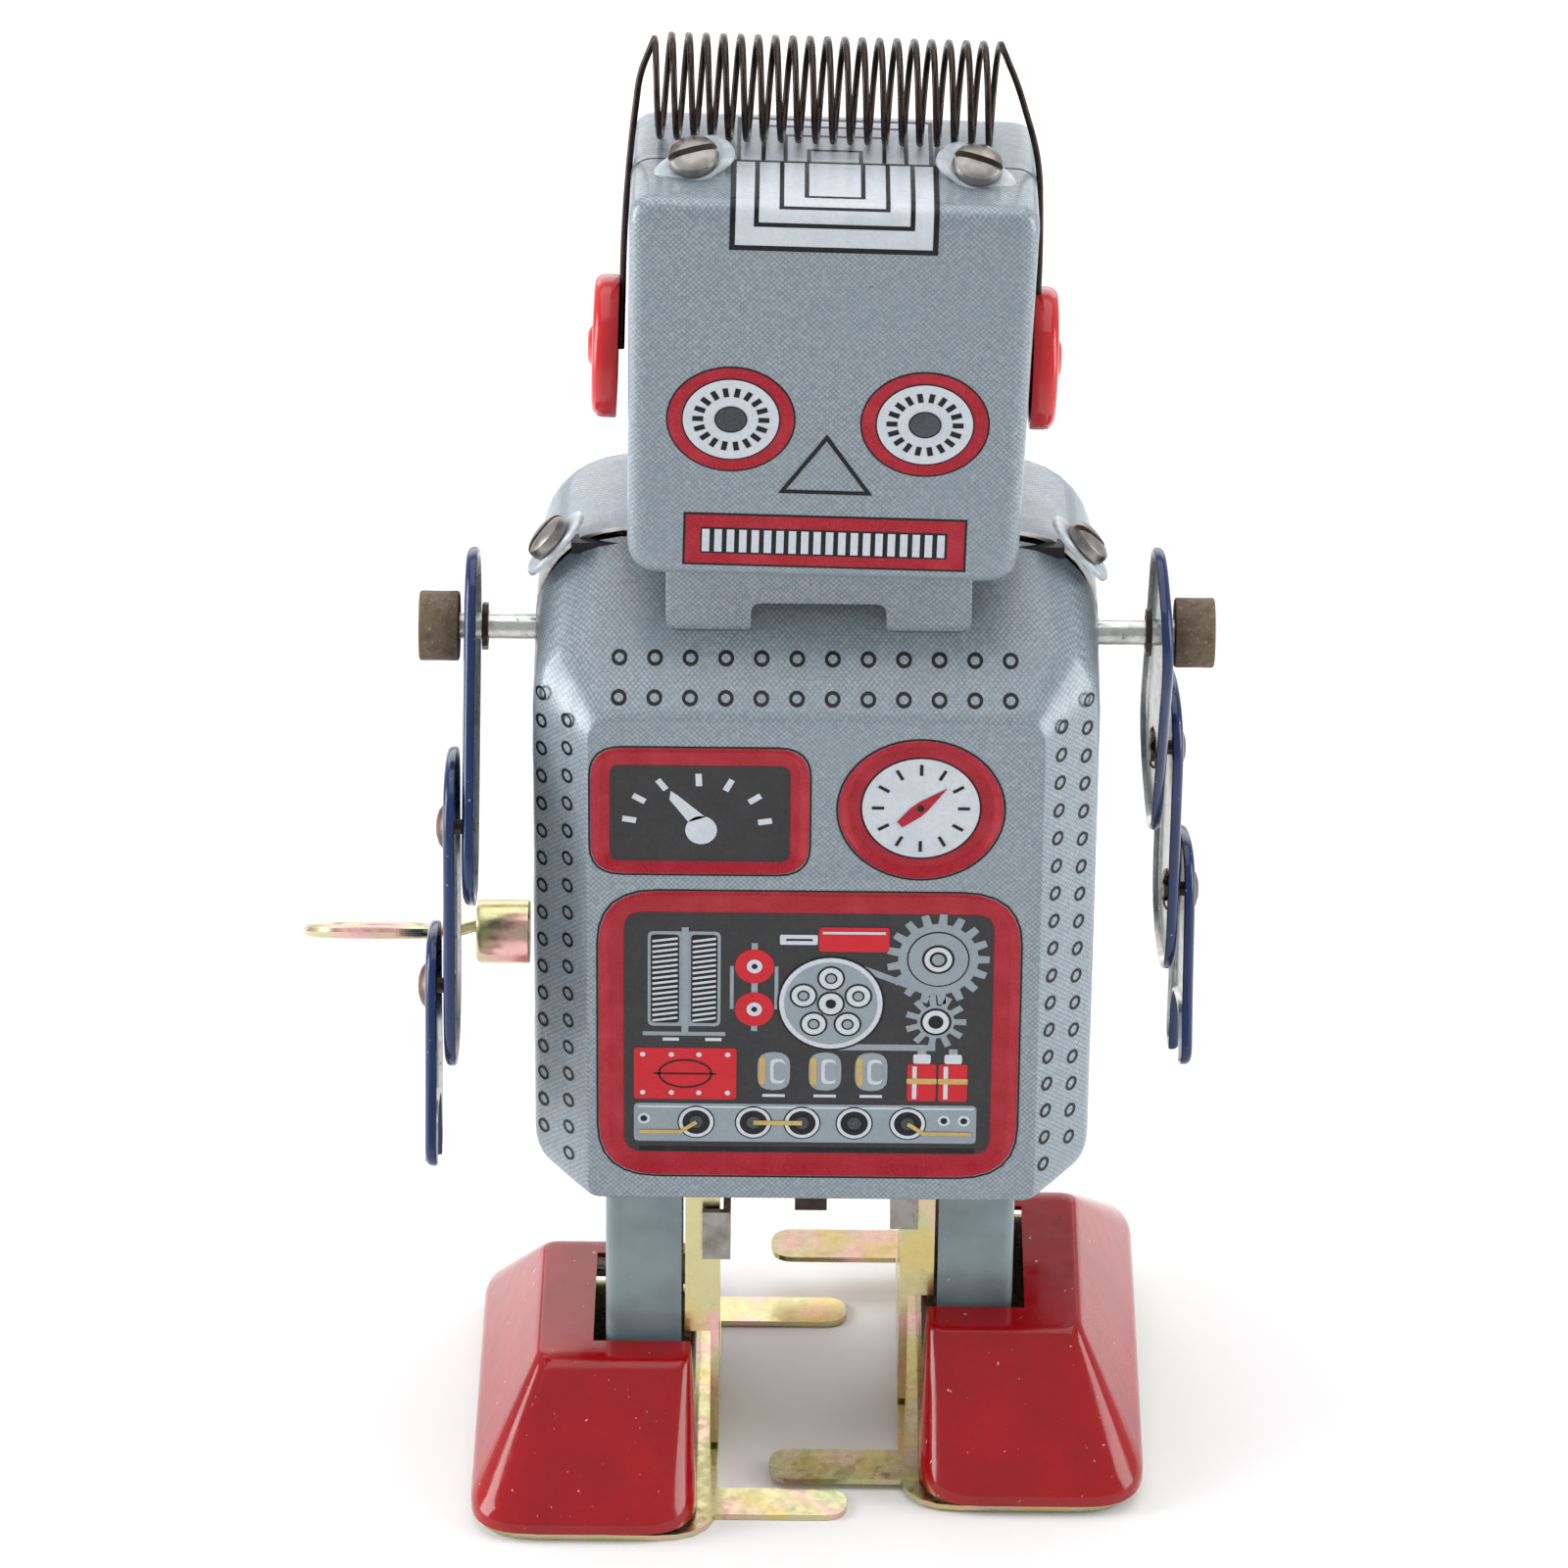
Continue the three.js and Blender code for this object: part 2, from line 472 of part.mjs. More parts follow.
// ---- legs and feet, drawn for the right side and mirrored for the left ----
function legFrame() {
  const plate = sidePrism(outline([[LEG.front, SOLE.sheet + GAP], [LEG.back, SOLE.sheet + GAP],
    [LEG.back, LEG.top, 3], [LEG.front, LEG.top, 3]]), LEG.inner, LEG.inner + LEG.sheet);
  const flange = block(LEG.inner, LEG.split - 0.2, LEG.front, LEG.front + LEG.sheet, FOOT.top + 0.4, LEG.top - 3.4);
  const hipSlot = rectangle(HIP.y - HIP.radius - GAP, HIP.z - STEP_LIFT - HIP.radius - GAP,
    HIP.y + HIP.radius + GAP, HIP.z + HIP.radius + GAP, 1.3);
  const crankRoom = CRANK.throw + CRANK.pin + 0.5;
  const crankSwing = (HIP.z - CRANK.z) * Math.sin(THREE.MathUtils.degToRad(STEP_ANGLE));
  const crankWindow = rectangle(CRANK.y - crankRoom - crankSwing, CRANK.z - STEP_LIFT - crankRoom,
    CRANK.y + crankRoom + crankSwing, CRANK.z + crankRoom, 1.5);
  const arborNotch = rectangle(KEY_AXIS.y - 2.6, KEY_AXIS.z - 4.6, LEG.back + 1, KEY_AXIS.z + 2.6);
  return union(plate, flange)
    .subtract(sidePrism(hipSlot, 5, 9)).subtract(sidePrism(crankWindow, 5, 9))
    .subtract(sidePrism(arborNotch, 5, 11));
}

function legCover() {
  const x0 = LEG.split + 0.1;
  const outside = planPrism(outline([[x0, LEG.front], [LEG.outer, LEG.front, 1], [LEG.outer, LEG.back, 1],
    [x0, LEG.back]]), 2, KEY_AXIS.z - 5, 3);
  return outside.subtract(block(x0 - 1, LEG.outer - LEG.sheet, LEG.front + LEG.sheet, LEG.back - LEG.sheet, 0, 60));
}

// The shoe: a tapered shell with a flat top, steep inner side and sloping front, outside and back.
function footVolume(inset, bottom) {
  const { inner, outer, front, back, top, facetFront, facetBack, ridge } = FOOT;
  const face = frontPrism(outline([[inner + inset, bottom], [outer - inset, bottom], [outer - inset, 2],
    [ridge - inset, top - inset, 1.6], [inner + 0.6 + inset, top - inset, 1.6]]), front - 1, back + 1);
  const side = sidePrism(outline([[front + inset, bottom], [back - inset, bottom], [back - inset, 2],
    [facetBack - 0.4 * inset, top - inset, 1.6], [facetFront + 0.4 * inset, top - inset, 1.6],
    [front + inset, 2]]), inner - 1, outer + 1);
  const plan = planPrism(rectangle(inner + inset, front + inset, outer - inset, back - inset, 5), bottom - 1, top + 1);
  return face.intersect(side).intersect(plan);
}

function footShell() {
  const room = 1.0;
  const legSlot = block(FOOT.inner - 2, LEG.outer + room, LEG.front - room, LEG.back + room, SOLE.sheet + GAP + 5, 14);
  const shell = footVolume(0, SOLE.sheet + GAP).subtract(footVolume(LEG.sheet, -3));
  return shell.subtract(legSlot);
}

function solePlate() {
  const plate = rectangle(LEG.inner, FOOT.front + 0.5, FOOT.outer - 0.5, FOOT.back - 0.5, 5);
  return SOLE.fingerY.reduce((sole, y) => sole.add(planPrism(
    rectangle(-SOLE.reach, y - SOLE.fingerWidth / 2, FOOT.inner + 3, y + SOLE.fingerWidth / 2, 1.9), 0, SOLE.sheet)),
  planPrism(plate, 0, SOLE.sheet));
}

function legClip() {
  return block(LEG.inner - 0.9, LEG.inner - 0.3, LEG.front - 0.9, LEG.front + 4, 19, 23.4)
    .add(block(LEG.inner - 0.9, LEG.inner + 1.4, LEG.front - 0.9, LEG.front - 0.3, 19, 23.4));
}

const LEG_PIECES = [
  ["leg_frame", legFrame(), ZINC],
  ["leg_cover", legCover(), PLAIN_GRAY_TIN],
  ["leg_clip", legClip(), STEEL],
  ["foot_shell", footShell(), RED_ENAMEL],
  ["sole_plate", solePlate(), ZINC],
];
for (const [name, side] of SIDES) {
  const hip = group();
  hip.position.set(0, HIP.y, HIP.z);
  if (side > 0) hip.rotation.x = THREE.MathUtils.degToRad(STEP_ANGLE);
  const leg = group(hip);
  leg.position.set(0, -HIP.y, -HIP.z + (side > 0 ? STEP_LIFT : 0));
  for (const [stem, body, material] of LEG_PIECES) {
    piece(`${stem}_${name}`, side > 0 ? body : body.mirror([1, 0, 0]), material, leg);
  }
}

// ---- the origin: the middle of the bounding box, on the floor ----
robot.updateMatrixWorld(true);
const box = new THREE.Box3().setFromObject(robot, true);
robot.position.set(-(box.min.x + box.max.x) / 2, -(box.min.y + box.max.y) / 2, -box.min.z);

export default robot;
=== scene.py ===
"""A clockwork tin robot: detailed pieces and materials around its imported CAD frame.

Shapes are written in millimetres in the robot's own frame: its middle plane is X = 0, its chest
panel is at Y = FRONT facing -Y, and the floor is Z = 0. Matrices then place them in the row frame.
"""
import json
import math

import bmesh
import bpy
import numpy as np
from mathutils import Matrix, Vector
from mathutils.geometry import tessellate_polygon


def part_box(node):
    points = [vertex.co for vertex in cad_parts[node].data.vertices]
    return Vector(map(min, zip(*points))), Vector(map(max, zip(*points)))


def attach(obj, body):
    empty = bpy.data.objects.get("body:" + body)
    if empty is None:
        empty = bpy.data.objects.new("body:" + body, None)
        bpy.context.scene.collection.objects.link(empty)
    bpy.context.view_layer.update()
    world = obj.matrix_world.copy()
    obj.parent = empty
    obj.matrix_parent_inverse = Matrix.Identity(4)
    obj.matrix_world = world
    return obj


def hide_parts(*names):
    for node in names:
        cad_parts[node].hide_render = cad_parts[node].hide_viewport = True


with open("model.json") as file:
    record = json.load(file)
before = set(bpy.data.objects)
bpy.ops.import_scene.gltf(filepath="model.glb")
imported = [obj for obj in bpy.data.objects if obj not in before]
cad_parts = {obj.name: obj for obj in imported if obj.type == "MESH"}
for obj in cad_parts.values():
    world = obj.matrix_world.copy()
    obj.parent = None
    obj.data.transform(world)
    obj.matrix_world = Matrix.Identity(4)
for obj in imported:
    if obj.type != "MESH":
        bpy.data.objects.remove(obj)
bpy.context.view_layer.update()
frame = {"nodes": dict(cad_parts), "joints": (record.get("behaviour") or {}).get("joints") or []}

# ---- driving dimensions, in millimetres ----
MM = 0.001
FRONT = -13.0
BODY_HALF, BODY_BOTTOM, BODY_TOP, BODY_BACK = 22.4, 26.6, 80.5, 16.0
CHEST_EDGE, CHEST_RISE = 70.1, 0.8
BEVEL_X, BEVEL_Y, BEVEL_BULGE = 18.0, -8.0, 0.06
BEVEL_MID_X, BEVEL_MID_Y = 19.9, -10.9
TIN, LEG_TIN = 0.35, 0.45
INK_SHEET, FIRST_LIFT, LAYER_LIFT = 0.008, 0.02, 0.018
CUP_DEPTH, CUP_SLOPE, SIGHT_DROP = 0.6, 0.8, 0.52
GAUGE_WINDOW, GAUGE_CORNER = (-17.7, 56.4, -0.5, 67.5), 2.6
DIAL_WINDOW = (8.3, 62.25, 6.5, 6.1)
MACHINE_WINDOW, MACHINE_CORNER = (-17.1, 28.9, 16.4, 54.8), 4.8
BACK_PANEL, BACK_PANEL_DEPTH = (-13.0, 34.0, 13.0, 71.0), 0.6

HEAD_HALF, HEAD_FRONT, HEAD_BACK = 15.7, -11.0, 8.0
HEAD_BOTTOM, HEAD_TOP, HEAD_ROUND = 81.1, 112.75, 1.6
HEAD_SEAM, SEAM_HALF, NECK_SLOT = -2.4, 0.12, (-8.9, -3.6)
HEAD_LEAN, HEAD_SHIFT = 1.2, 0.3
EAR_Y, EAR_Z = -1.6, 96.5
EAR_GAP = {"left": 0.65, "right": 0.1}

SPRING_TURNS, SPRING_LEFT, SPRING_RIGHT = 20, -14.1, 12.6
SPRING_RADIUS, SPRING_Y, WIRE = 3.95, 1.4, 0.52

AXLE_Z, AXLE_HALF, BUSH_X = 71.6, 31.5, 28.4
UPPER_LENGTH, FOREARM_LENGTH, HAND_LENGTH = 16.0, 13.4, 15.6
UPPER_RADIUS, FOREARM_RADIUS, HAND_RADIUS = 6.3, 6.2, 5.0
AXLE_HOLE, RIVET_HOLE, RIVET_SEAT = 1.4, 0.9, 0.8
HAND_TURN = {"left": -11.0, "right": -8.0}
ARM_TWIST = {"left": 0.0, "right": 3.2}

KEY_Y, KEY_Z, KEY_TILT = 1.0, 43.4, -27.0
HIP_Y, HIP_Z = -2.8, 46.0
STEP_ANGLE, STEP_LIFT = 6.0, 2.0
SIDES = (("left", -1), ("right", 1))

# ---- places ----
shell_low, shell_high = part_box("body_front_shell")
offset = Vector(((shell_low.x + shell_high.x) / 2, shell_low.y - FRONT * MM, shell_low.z - BODY_BOTTOM * MM))
ROBOT = Matrix.Translation(offset) @ Matrix.Scale(MM, 4)
joints = {joint["name"]: Vector(joint["pos_m"]) for joint in frame["joints"]}


def turned_about(point, angle, axis, shift=(0, 0, 0), lift=0.0):
    """The robot's frame, lifted along Z, turned by degrees about an axis through a point, then shifted."""
    pivot = Vector(point)
    turn = Matrix.Rotation(math.radians(angle), 4, axis)
    back = Matrix.Translation(Vector((0, 0, lift)) - pivot)
    return ROBOT @ Matrix.Translation(pivot + Vector(shift)) @ turn @ back


HEAD = turned_about((0, 0, HEAD_BOTTOM), HEAD_LEAN, "Y", (HEAD_SHIFT, 0, 0))
LEGS = {"left": ROBOT, "right": turned_about((0, HIP_Y, HIP_Z), STEP_ANGLE, "X", lift=STEP_LIFT)}
KEY = ROBOT @ Matrix.Translation((0, KEY_Y, KEY_Z)) @ Matrix.Rotation(math.radians(KEY_TILT), 4, "X")


def link_place(side_name, near, far=None, turn=0.0):
    """The place of an arm link: it hangs from one joint and points at the next, or turns by a given angle."""
    start = joints[f"{near}_{side_name}"]
    if far:
        along = joints[f"{far}_{side_name}"] - start
        turn = math.atan2(along.y, -along.z)
    return Matrix.Translation(start) @ Matrix.Rotation(turn, 4, "X") @ Matrix.Scale(MM, 4)


# ---- outlines and forms ----
def rounded(corners, steps=6):
    """A loop through corners (a, b, setback), each one rounded off from its setback."""
    loop = []
    for i, (a, b, setback) in enumerate(corners):
        corner = Vector((a, b))
        before = Vector(corners[i - 1][:2]) - corner
        after = Vector(corners[(i + 1) % len(corners)][:2]) - corner
        start = corner + before.normalized() * setback
        end = corner + after.normalized() * setback
        for k in range(steps + 1):
            t = k / max(steps, 1)
            loop.append((1 - t) ** 2 * start + 2 * t * (1 - t) * corner + t * t * end)
    return loop


def box_loop(a0, b0, a1, b1, low=0.0, high=None, steps=6):
    """A rounded rectangle whose lower and upper corners have their own setbacks."""
    high = low if high is None else high
    return rounded([(a0, b0, low), (a1, b0, low), (a1, b1, high), (a0, b1, high)], steps)


def shrunk(box, distance, corner, steps=6):
    """The loop of a rounded rectangle (a0, b0, a1, b1), moved inwards by a distance."""
    a0, b0, a1, b1 = box
    return box_loop(a0 + distance, b0 + distance, a1 - distance, b1 - distance, corner, steps=steps)


def ellipse(a, b, ra, rb=None, count=48):
    rb = ra if rb is None else rb
    angles = (2 * math.pi * i / count for i in range(count))
    return [Vector((a + ra * math.cos(t), b + rb * math.sin(t))) for t in angles]


def inset(loop, distance):
    """A loop moved inwards by a distance along its vertex normals."""
    area = sum(p.cross(q) for p, q in zip(loop, loop[1:] + loop[:1]))
    sign = 1 if area > 0 else -1
    moved = []
    for i, point in enumerate(loop):
        before, after = loop[i - 1], loop[(i + 1) % len(loop)]
        along = (after - before).normalized()
        moved.append(point + sign * distance * Vector((-along.y, along.x)))
    return moved


def smooth_path(controls, setbacks, steps=6):
    """A path through control vectors, with its inner corners rounded off from their setbacks."""
    points = [np.array(c, float) for c in controls]
    path = [points[0]]
    for i in range(1, len(points) - 1):
        corner = points[i]
        ends = []
        for other in (points[i - 1], points[i + 1]):
            away = other - corner
            ends.append(corner + away * min(0.5, setbacks[i - 1] / np.linalg.norm(away[:3])))
        for k in range(steps + 1):
            t = k / steps
            path.append((1 - t) ** 2 * ends[0] + 2 * t * (1 - t) * corner + t * t * ends[1])
    path.append(points[-1])
    return path


def front_view(y):
    return lambda p: Vector((p[0], y, p[1]))


def side_view(x):
    return lambda p: Vector((x, p[0], p[1]))


def plan_view(z):
    return lambda p: Vector((p[0], p[1], z))


class Form:
    """Points and faces with a material number each, gathered patch by patch."""

    def __init__(self):
        self.points, self.faces, self.inks = [], [], []

    def patch(self, points, faces, ink=0):
        base = len(self.points)
        self.points += [Vector(p) for p in points]
        self.faces += [[base + i for i in face] for face in faces]
        self.inks += [ink] * len(faces)

    def loft(self, rings, ink=0, closed=True, around=False, keep=None):
        count = len(rings[0])
        points = [p for ring in rings for p in ring]
        pairs = [(i, i + 1) for i in range(len(rings) - 1)]
        if around:
            pairs.append((len(rings) - 1, 0))
        faces = []
        for a, b in pairs:
            for i in range(count if closed else count - 1):
                j = (i + 1) % count
                face = (a * count + i, a * count + j, b * count + j, b * count + i)
                if keep is None or keep(sum((points[k] for k in face), Vector()) / 4):
                    faces.append(face)
        self.patch(points, faces, ink)

    def cap(self, loop, holes=(), ink=0):
        loops = [list(loop)] + [list(hole) for hole in holes]
        self.patch([p for each in loops for p in each], tessellate_polygon(loops), ink)

    def lathe(self, profile, centre, axis, count=40, ink=0):
        """A profile of (radius, height) turned about a line through centre along axis."""
        turn = Vector(axis).normalized().to_track_quat("Z", "Y")
        rings = []
        for radius, height in profile:
            circle = ellipse(0, 0, radius, None, count)
            rings.append([Vector(centre) + turn @ Vector((p.x, p.y, height)) for p in circle])
        self.loft(rings, ink)

    def tube(self, path, radius, count=8, ink=0):
        """A round wire along a path, with closed ends."""
        upright = abs((path[1] - path[0]).normalized().z) >= 0.9
        normal = Vector((1, 0, 0)) if upright else Vector((0, 0, 1))
        circle = ellipse(0, 0, 1, None, count)
        rings = []
        for i, point in enumerate(path):
            along = (path[min(i + 1, len(path) - 1)] - path[max(i - 1, 0)]).normalized()
            normal = (normal - along * normal.dot(along)).normalized()
            other = along.cross(normal)
            rings.append([point + radius * (p.x * normal + p.y * other) for p in circle])
        self.closed_loft(rings, ink)

    def closed_loft(self, rings, ink=0):
        """A loft with both of its ends capped."""
        self.loft(rings, ink)
        self.cap(rings[0], ink=ink)
        self.cap(rings[-1], ink=ink)

    def mirrored(self, side):
        if side < 0:
            self.points = [Vector((-p.x, p.y, p.z)) for p in self.points]
        return self


def baked(obj):
    """Applies an object's modifiers to its mesh."""
    bpy.context.view_layer.update()
    graph = bpy.context.evaluated_depsgraph_get()
    mesh = bpy.data.meshes.new_from_object(obj.evaluated_get(graph))
    obj.modifiers.clear()
    obj.data = mesh
    return obj


def to_object(form, name, place, oriented=True):
    """The form's mesh in the row frame; an oriented one gets its face normals turned outwards."""
    mesh = bpy.data.meshes.new(name)
    bm = bmesh.new()
    corners = [bm.verts.new(place @ p) for p in form.points]
    for face, ink in zip(form.faces, form.inks):
        bm.faces.new([corners[i] for i in face]).material_index = ink
    bmesh.ops.remove_doubles(bm, verts=bm.verts, dist=2e-6)
    if oriented:
        bmesh.ops.recalc_face_normals(bm, faces=bm.faces)
        middle = sum((f.calc_center_median() for f in bm.faces), Vector()) / len(bm.faces)
        if sum(f.normal.dot(f.calc_center_median() - middle) * f.calc_area() for f in bm.faces) < 0:
            bmesh.ops.reverse_faces(bm, faces=bm.faces)
    bm.to_mesh(mesh)
    bm.free()
    obj = bpy.data.objects.new(name, mesh)
    bpy.context.scene.collection.objects.link(obj)
    return obj


def make(form, name, body, materials, place=ROBOT, replaces=(), shell=0.0, cutters=(), solver="EXACT",
         sharp=32, oriented=True):
    """A finished piece: its sheet thickness and cuts are applied, and it rides on its body."""
    obj = to_object(form, name, place, oriented)
    for material in materials:
        obj.data.materials.append(material)
    if shell:
        sheet = obj.modifiers.new("sheet", "SOLIDIFY")
        sheet.thickness, sheet.offset = shell * MM, -1
        sheet.use_even_offset = oriented
        sheet.material_offset = 1 if oriented else 0
        sheet.material_offset_rim = 1 if oriented else 0
    for cutter in cutters:
        cut = obj.modifiers.new("cut", "BOOLEAN")
        cut.operation, cut.solver, cut.object = "DIFFERENCE", solver, cutter
    if shell or cutters:
        baked(obj)
    for cutter in cutters:
        bpy.data.objects.remove(cutter)
    obj.data.polygons.foreach_set("use_smooth", [True] * len(obj.data.polygons))
    obj.data.set_sharp_from_angle(angle=math.radians(sharp))
    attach(obj, body)
    if replaces:
        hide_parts(*replaces)
    return obj


# ---- materials ----
def rgba(color):
    return (*color, 1.0)


class Surface:
    """A Principled material built from small node chains over object coordinates, in millimetres."""

    def __init__(self, name, color, rough, metal=0.0, coat=0.0, specular=0.5):
        self.material = bpy.data.materials.new(name)
        self.material.use_nodes = True
        self.tree = self.material.node_tree
        self.shader = self.tree.nodes["Principled BSDF"]
        self.color = rgba(color)
        self.rough = rough
        self.shader.inputs["Metallic"].default_value = metal
        self.shader.inputs["Specular IOR Level"].default_value = specular
        if coat:
            self.shader.inputs["Coat Weight"].default_value = coat
            self.shader.inputs["Coat Roughness"].default_value = 0.07
        self.where = self.node("ShaderNodeTexCoord").outputs["Object"]
        self.height = None

    def node(self, kind, props=None, **inputs):
        node = self.tree.nodes.new(kind)
        for key, value in (props or {}).items():
            setattr(node, key, value)
        for key, value in inputs.items():
            self.link(value, node.inputs[int(key[1:]) if key[0] == "i" and key[1:].isdigit() else key])
        return node

    def link(self, value, socket):
        if isinstance(value, bpy.types.NodeSocket):
            self.tree.links.new(value, socket)
        else:
            socket.default_value = value

    def math(self, operation, a, b=0.0, c=0.0):
        return self.node("ShaderNodeMath", {"operation": operation}, i0=a, i1=b, i2=c).outputs[0]

    def ramp(self, value, low, high, to_low=0.0, to_high=1.0):
        node = self.node("ShaderNodeMapRange", None, Value=value)
        for key, number in (("From Min", low), ("From Max", high), ("To Min", to_low), ("To Max", to_high)):
            node.inputs[key].default_value = number
        return node.outputs["Result"]

    def noise(self, size, detail=3.0, stretch=(1, 1, 1)):
        where = self.node("ShaderNodeMapping", None, Vector=self.where, Scale=tuple(s / MM for s in stretch))
        return self.node("ShaderNodeTexNoise", None, Vector=where.outputs[0], Scale=1 / size,
                         Detail=detail).outputs["Fac"]

    def mix(self, share, a, b):
        node = self.node("ShaderNodeMix", {"data_type": "RGBA"})
        self.link(share, node.inputs["Factor"])
        self.link(a, node.inputs["A"])
        self.link(b, node.inputs["B"])
        return next(out for out in node.outputs if out.enabled and out.type == "RGBA")

    def stain(self, color, size, detail, low, high, share=1.0, stretch=(1, 1, 1)):
        """Lays another colour over patches of a noise, from none at low to the given share at high."""
        where = self.ramp(self.noise(size, detail, stretch), low, high, 0.0, share)
        self.color = self.mix(where, self.color, rgba(color))

    def relief(self, size, detail, depth, stretch=(1, 1, 1)):
        """Adds relief from a noise of the given size: its 0 to 1 is depth millimetres."""
        scaled = self.math("MULTIPLY", self.noise(size, detail, stretch), depth * MM)
        self.height = scaled if self.height is None else self.math("ADD", self.height, scaled)

    def done(self, spread=0.08, size=1.5):
        """Spreads the roughness over a noise of the given size and joins everything to the shader."""
        rough = self.ramp(self.noise(size), 0.3, 0.7, self.rough - spread, self.rough + spread)
        self.link(rough, self.shader.inputs["Roughness"])
        self.link(self.color, self.shader.inputs["Base Color"])
        if self.height is not None:
            bump = self.node("ShaderNodeBump", None, Height=self.height, Strength=1.0, Distance=1.0)
            self.link(bump.outputs[0], self.shader.inputs["Normal"])
        return self.material


def halftone(surface, pitch):
    """A regular 45 degree dot screen that lies flat on faces towards X, Y or Z: 0 to 1."""
    axes = surface.node("ShaderNodeSeparateXYZ", None, Vector=surface.where).outputs
    facing = surface.node("ShaderNodeSeparateXYZ", None,
                          Vector=surface.node("ShaderNodeNewGeometry").outputs["True Normal"]).outputs
    scale = 2 * math.pi / (pitch * MM)
    waves = [surface.math("COSINE", surface.math("MULTIPLY", axis, scale)) for axis in axes]
    across = [surface.math("MULTIPLY", waves[a], waves[b]) for a, b in ((1, 2), (0, 2), (0, 1))]
    side = surface.math("GREATER_THAN", surface.math("ABSOLUTE", facing[0]), 0.68)
    flat = surface.math("GREATER_THAN", surface.math("ABSOLUTE", facing[2]), 0.72)
    front = surface.node("ShaderNodeMix", None, Factor=flat, A=across[1], B=across[2]).outputs[0]
    chosen = surface.node("ShaderNodeMix", None, Factor=side, A=front, B=across[0]).outputs[0]
    uneven = surface.ramp(surface.noise(0.45, 2.0), 0.3, 0.7, -0.35, 0.45)
    return surface.ramp(surface.math("ADD", chosen, uneven), -0.2, 0.75)


def printed_tin():
    """Lithographed blue-gray tin: a dot screen, fine mottle, broad shading and a few rust pits."""
    s = Surface("printed_tin", (0.21, 0.26, 0.30), 0.36, metal=0.1, coat=0.3)
    s.color = s.mix(halftone(s, 0.44), rgba((0.178, 0.222, 0.258)), rgba((0.335, 0.375, 0.42)))
    s.stain((0.42, 0.46, 0.49), 0.30, 2.0, 0.56, 0.72, 0.45)
    s.stain((0.13, 0.17, 0.20), 0.26, 2.0, 0.58, 0.74, 0.45)
    s.stain((0.22, 0.27, 0.31), 9.0, 2.0, 0.35, 0.7, 0.35)
    s.stain((0.13, 0.09, 0.07), 1.1, 6.0, 0.735, 0.76, 0.75)
    s.relief(7.0, 1.0, 0.10)
    s.relief(0.5, 2.0, 0.006)
    return s.done(0.07)


def enamel(name, color, deep, speck, specks):
    """Glossy paint that deepens in patches, with small chips: fewer as specks rises."""
    s = Surface(name, color, 0.16, coat=0.3, specular=0.3)
    s.stain(deep, 6.0, 2.0, 0.35, 0.7, 0.7)
    s.stain(deep, 0.6, 3.0, 0.5, 0.8, 0.5)
    s.stain(speck, 0.55, 4.0, specks, specks + 0.025, 0.85)
    s.relief(1.6, 2.0, 0.018)
    s.relief(0.25, 2.0, 0.002)
    return s.done(0.06)


def bare_metal(name, color, stain, rough=0.32, grain=(1, 1, 1)):
    s = Surface(name, color, rough, metal=1.0)
    s.stain(stain, 1.8, 5.0, 0.48, 0.68, 0.75)
    s.stain((0.09, 0.07, 0.06), 0.5, 4.0, 0.66, 0.74, 0.6)
    s.relief(0.35, 3.0, 0.010, grain)
    return s.done(0.10, 0.6)


def zinc_plate():
    """Yellow-passivated zinc that drifts to pink, green and gold."""
    s = Surface("zinc", (0.60, 0.55, 0.30), 0.25, metal=1.0)
    s.stain((0.80, 0.46, 0.44), 6.0, 1.0, 0.44, 0.56, 0.9)
    s.stain((0.48, 0.58, 0.28), 6.0, 0.5, 0.50, 0.66, 0.8, (1, 1, 1.3))
    s.stain((0.66, 0.52, 0.20), 5.0, 0.5, 0.54, 0.70, 0.8, (1.2, 1, 1))
    s.stain((0.30, 0.22, 0.12), 0.8, 5.0, 0.68, 0.76, 0.4)
    s.relief(0.5, 3.0, 0.004, (0.3, 1, 1))
    return s.done(0.08, 0.8)


def gray_tin():
    s = Surface("gray_tin", (0.20, 0.27, 0.29), 0.36, coat=0.4)
    s.stain((0.15, 0.20, 0.22), 4.0, 3.0, 0.4, 0.7)
    s.stain((0.45, 0.50, 0.50), 0.5, 4.0, 0.70, 0.74, 0.7)
    s.relief(1.2, 2.0, 0.01)
    return s.done()


def pale_tin():
    s = Surface("pale_tin", (0.45, 0.52, 0.57), 0.34, coat=0.3)
    s.stain((0.62, 0.67, 0.70), 0.8, 3.0, 0.42, 0.68)
    s.stain((0.22, 0.24, 0.25), 0.5, 4.0, 0.66, 0.74, 0.6)
    s.relief(0.9, 2.0, 0.02)
    return s.done()


def bush_rubber():
    s = Surface("bush_rubber", (0.15, 0.10, 0.058), 0.62)
    s.stain((0.085, 0.057, 0.033), 0.7, 4.0, 0.42, 0.68)
    s.stain((0.38, 0.28, 0.18), 0.3, 3.0, 0.60, 0.74, 0.7)
    s.relief(0.25, 3.0, 0.02)
    return s.done()


def ink(name, color, other, grain=0.30):
    """Printing ink with a slight mottle of another tone."""
    s = Surface(name, color, 0.30, specular=0.22)
    s.stain(other, grain, 2.0, 0.45, 0.75, 0.6)
    s.stain(other, 2.5, 3.0, 0.45, 0.75, 0.5)
    return s.done(0.06)


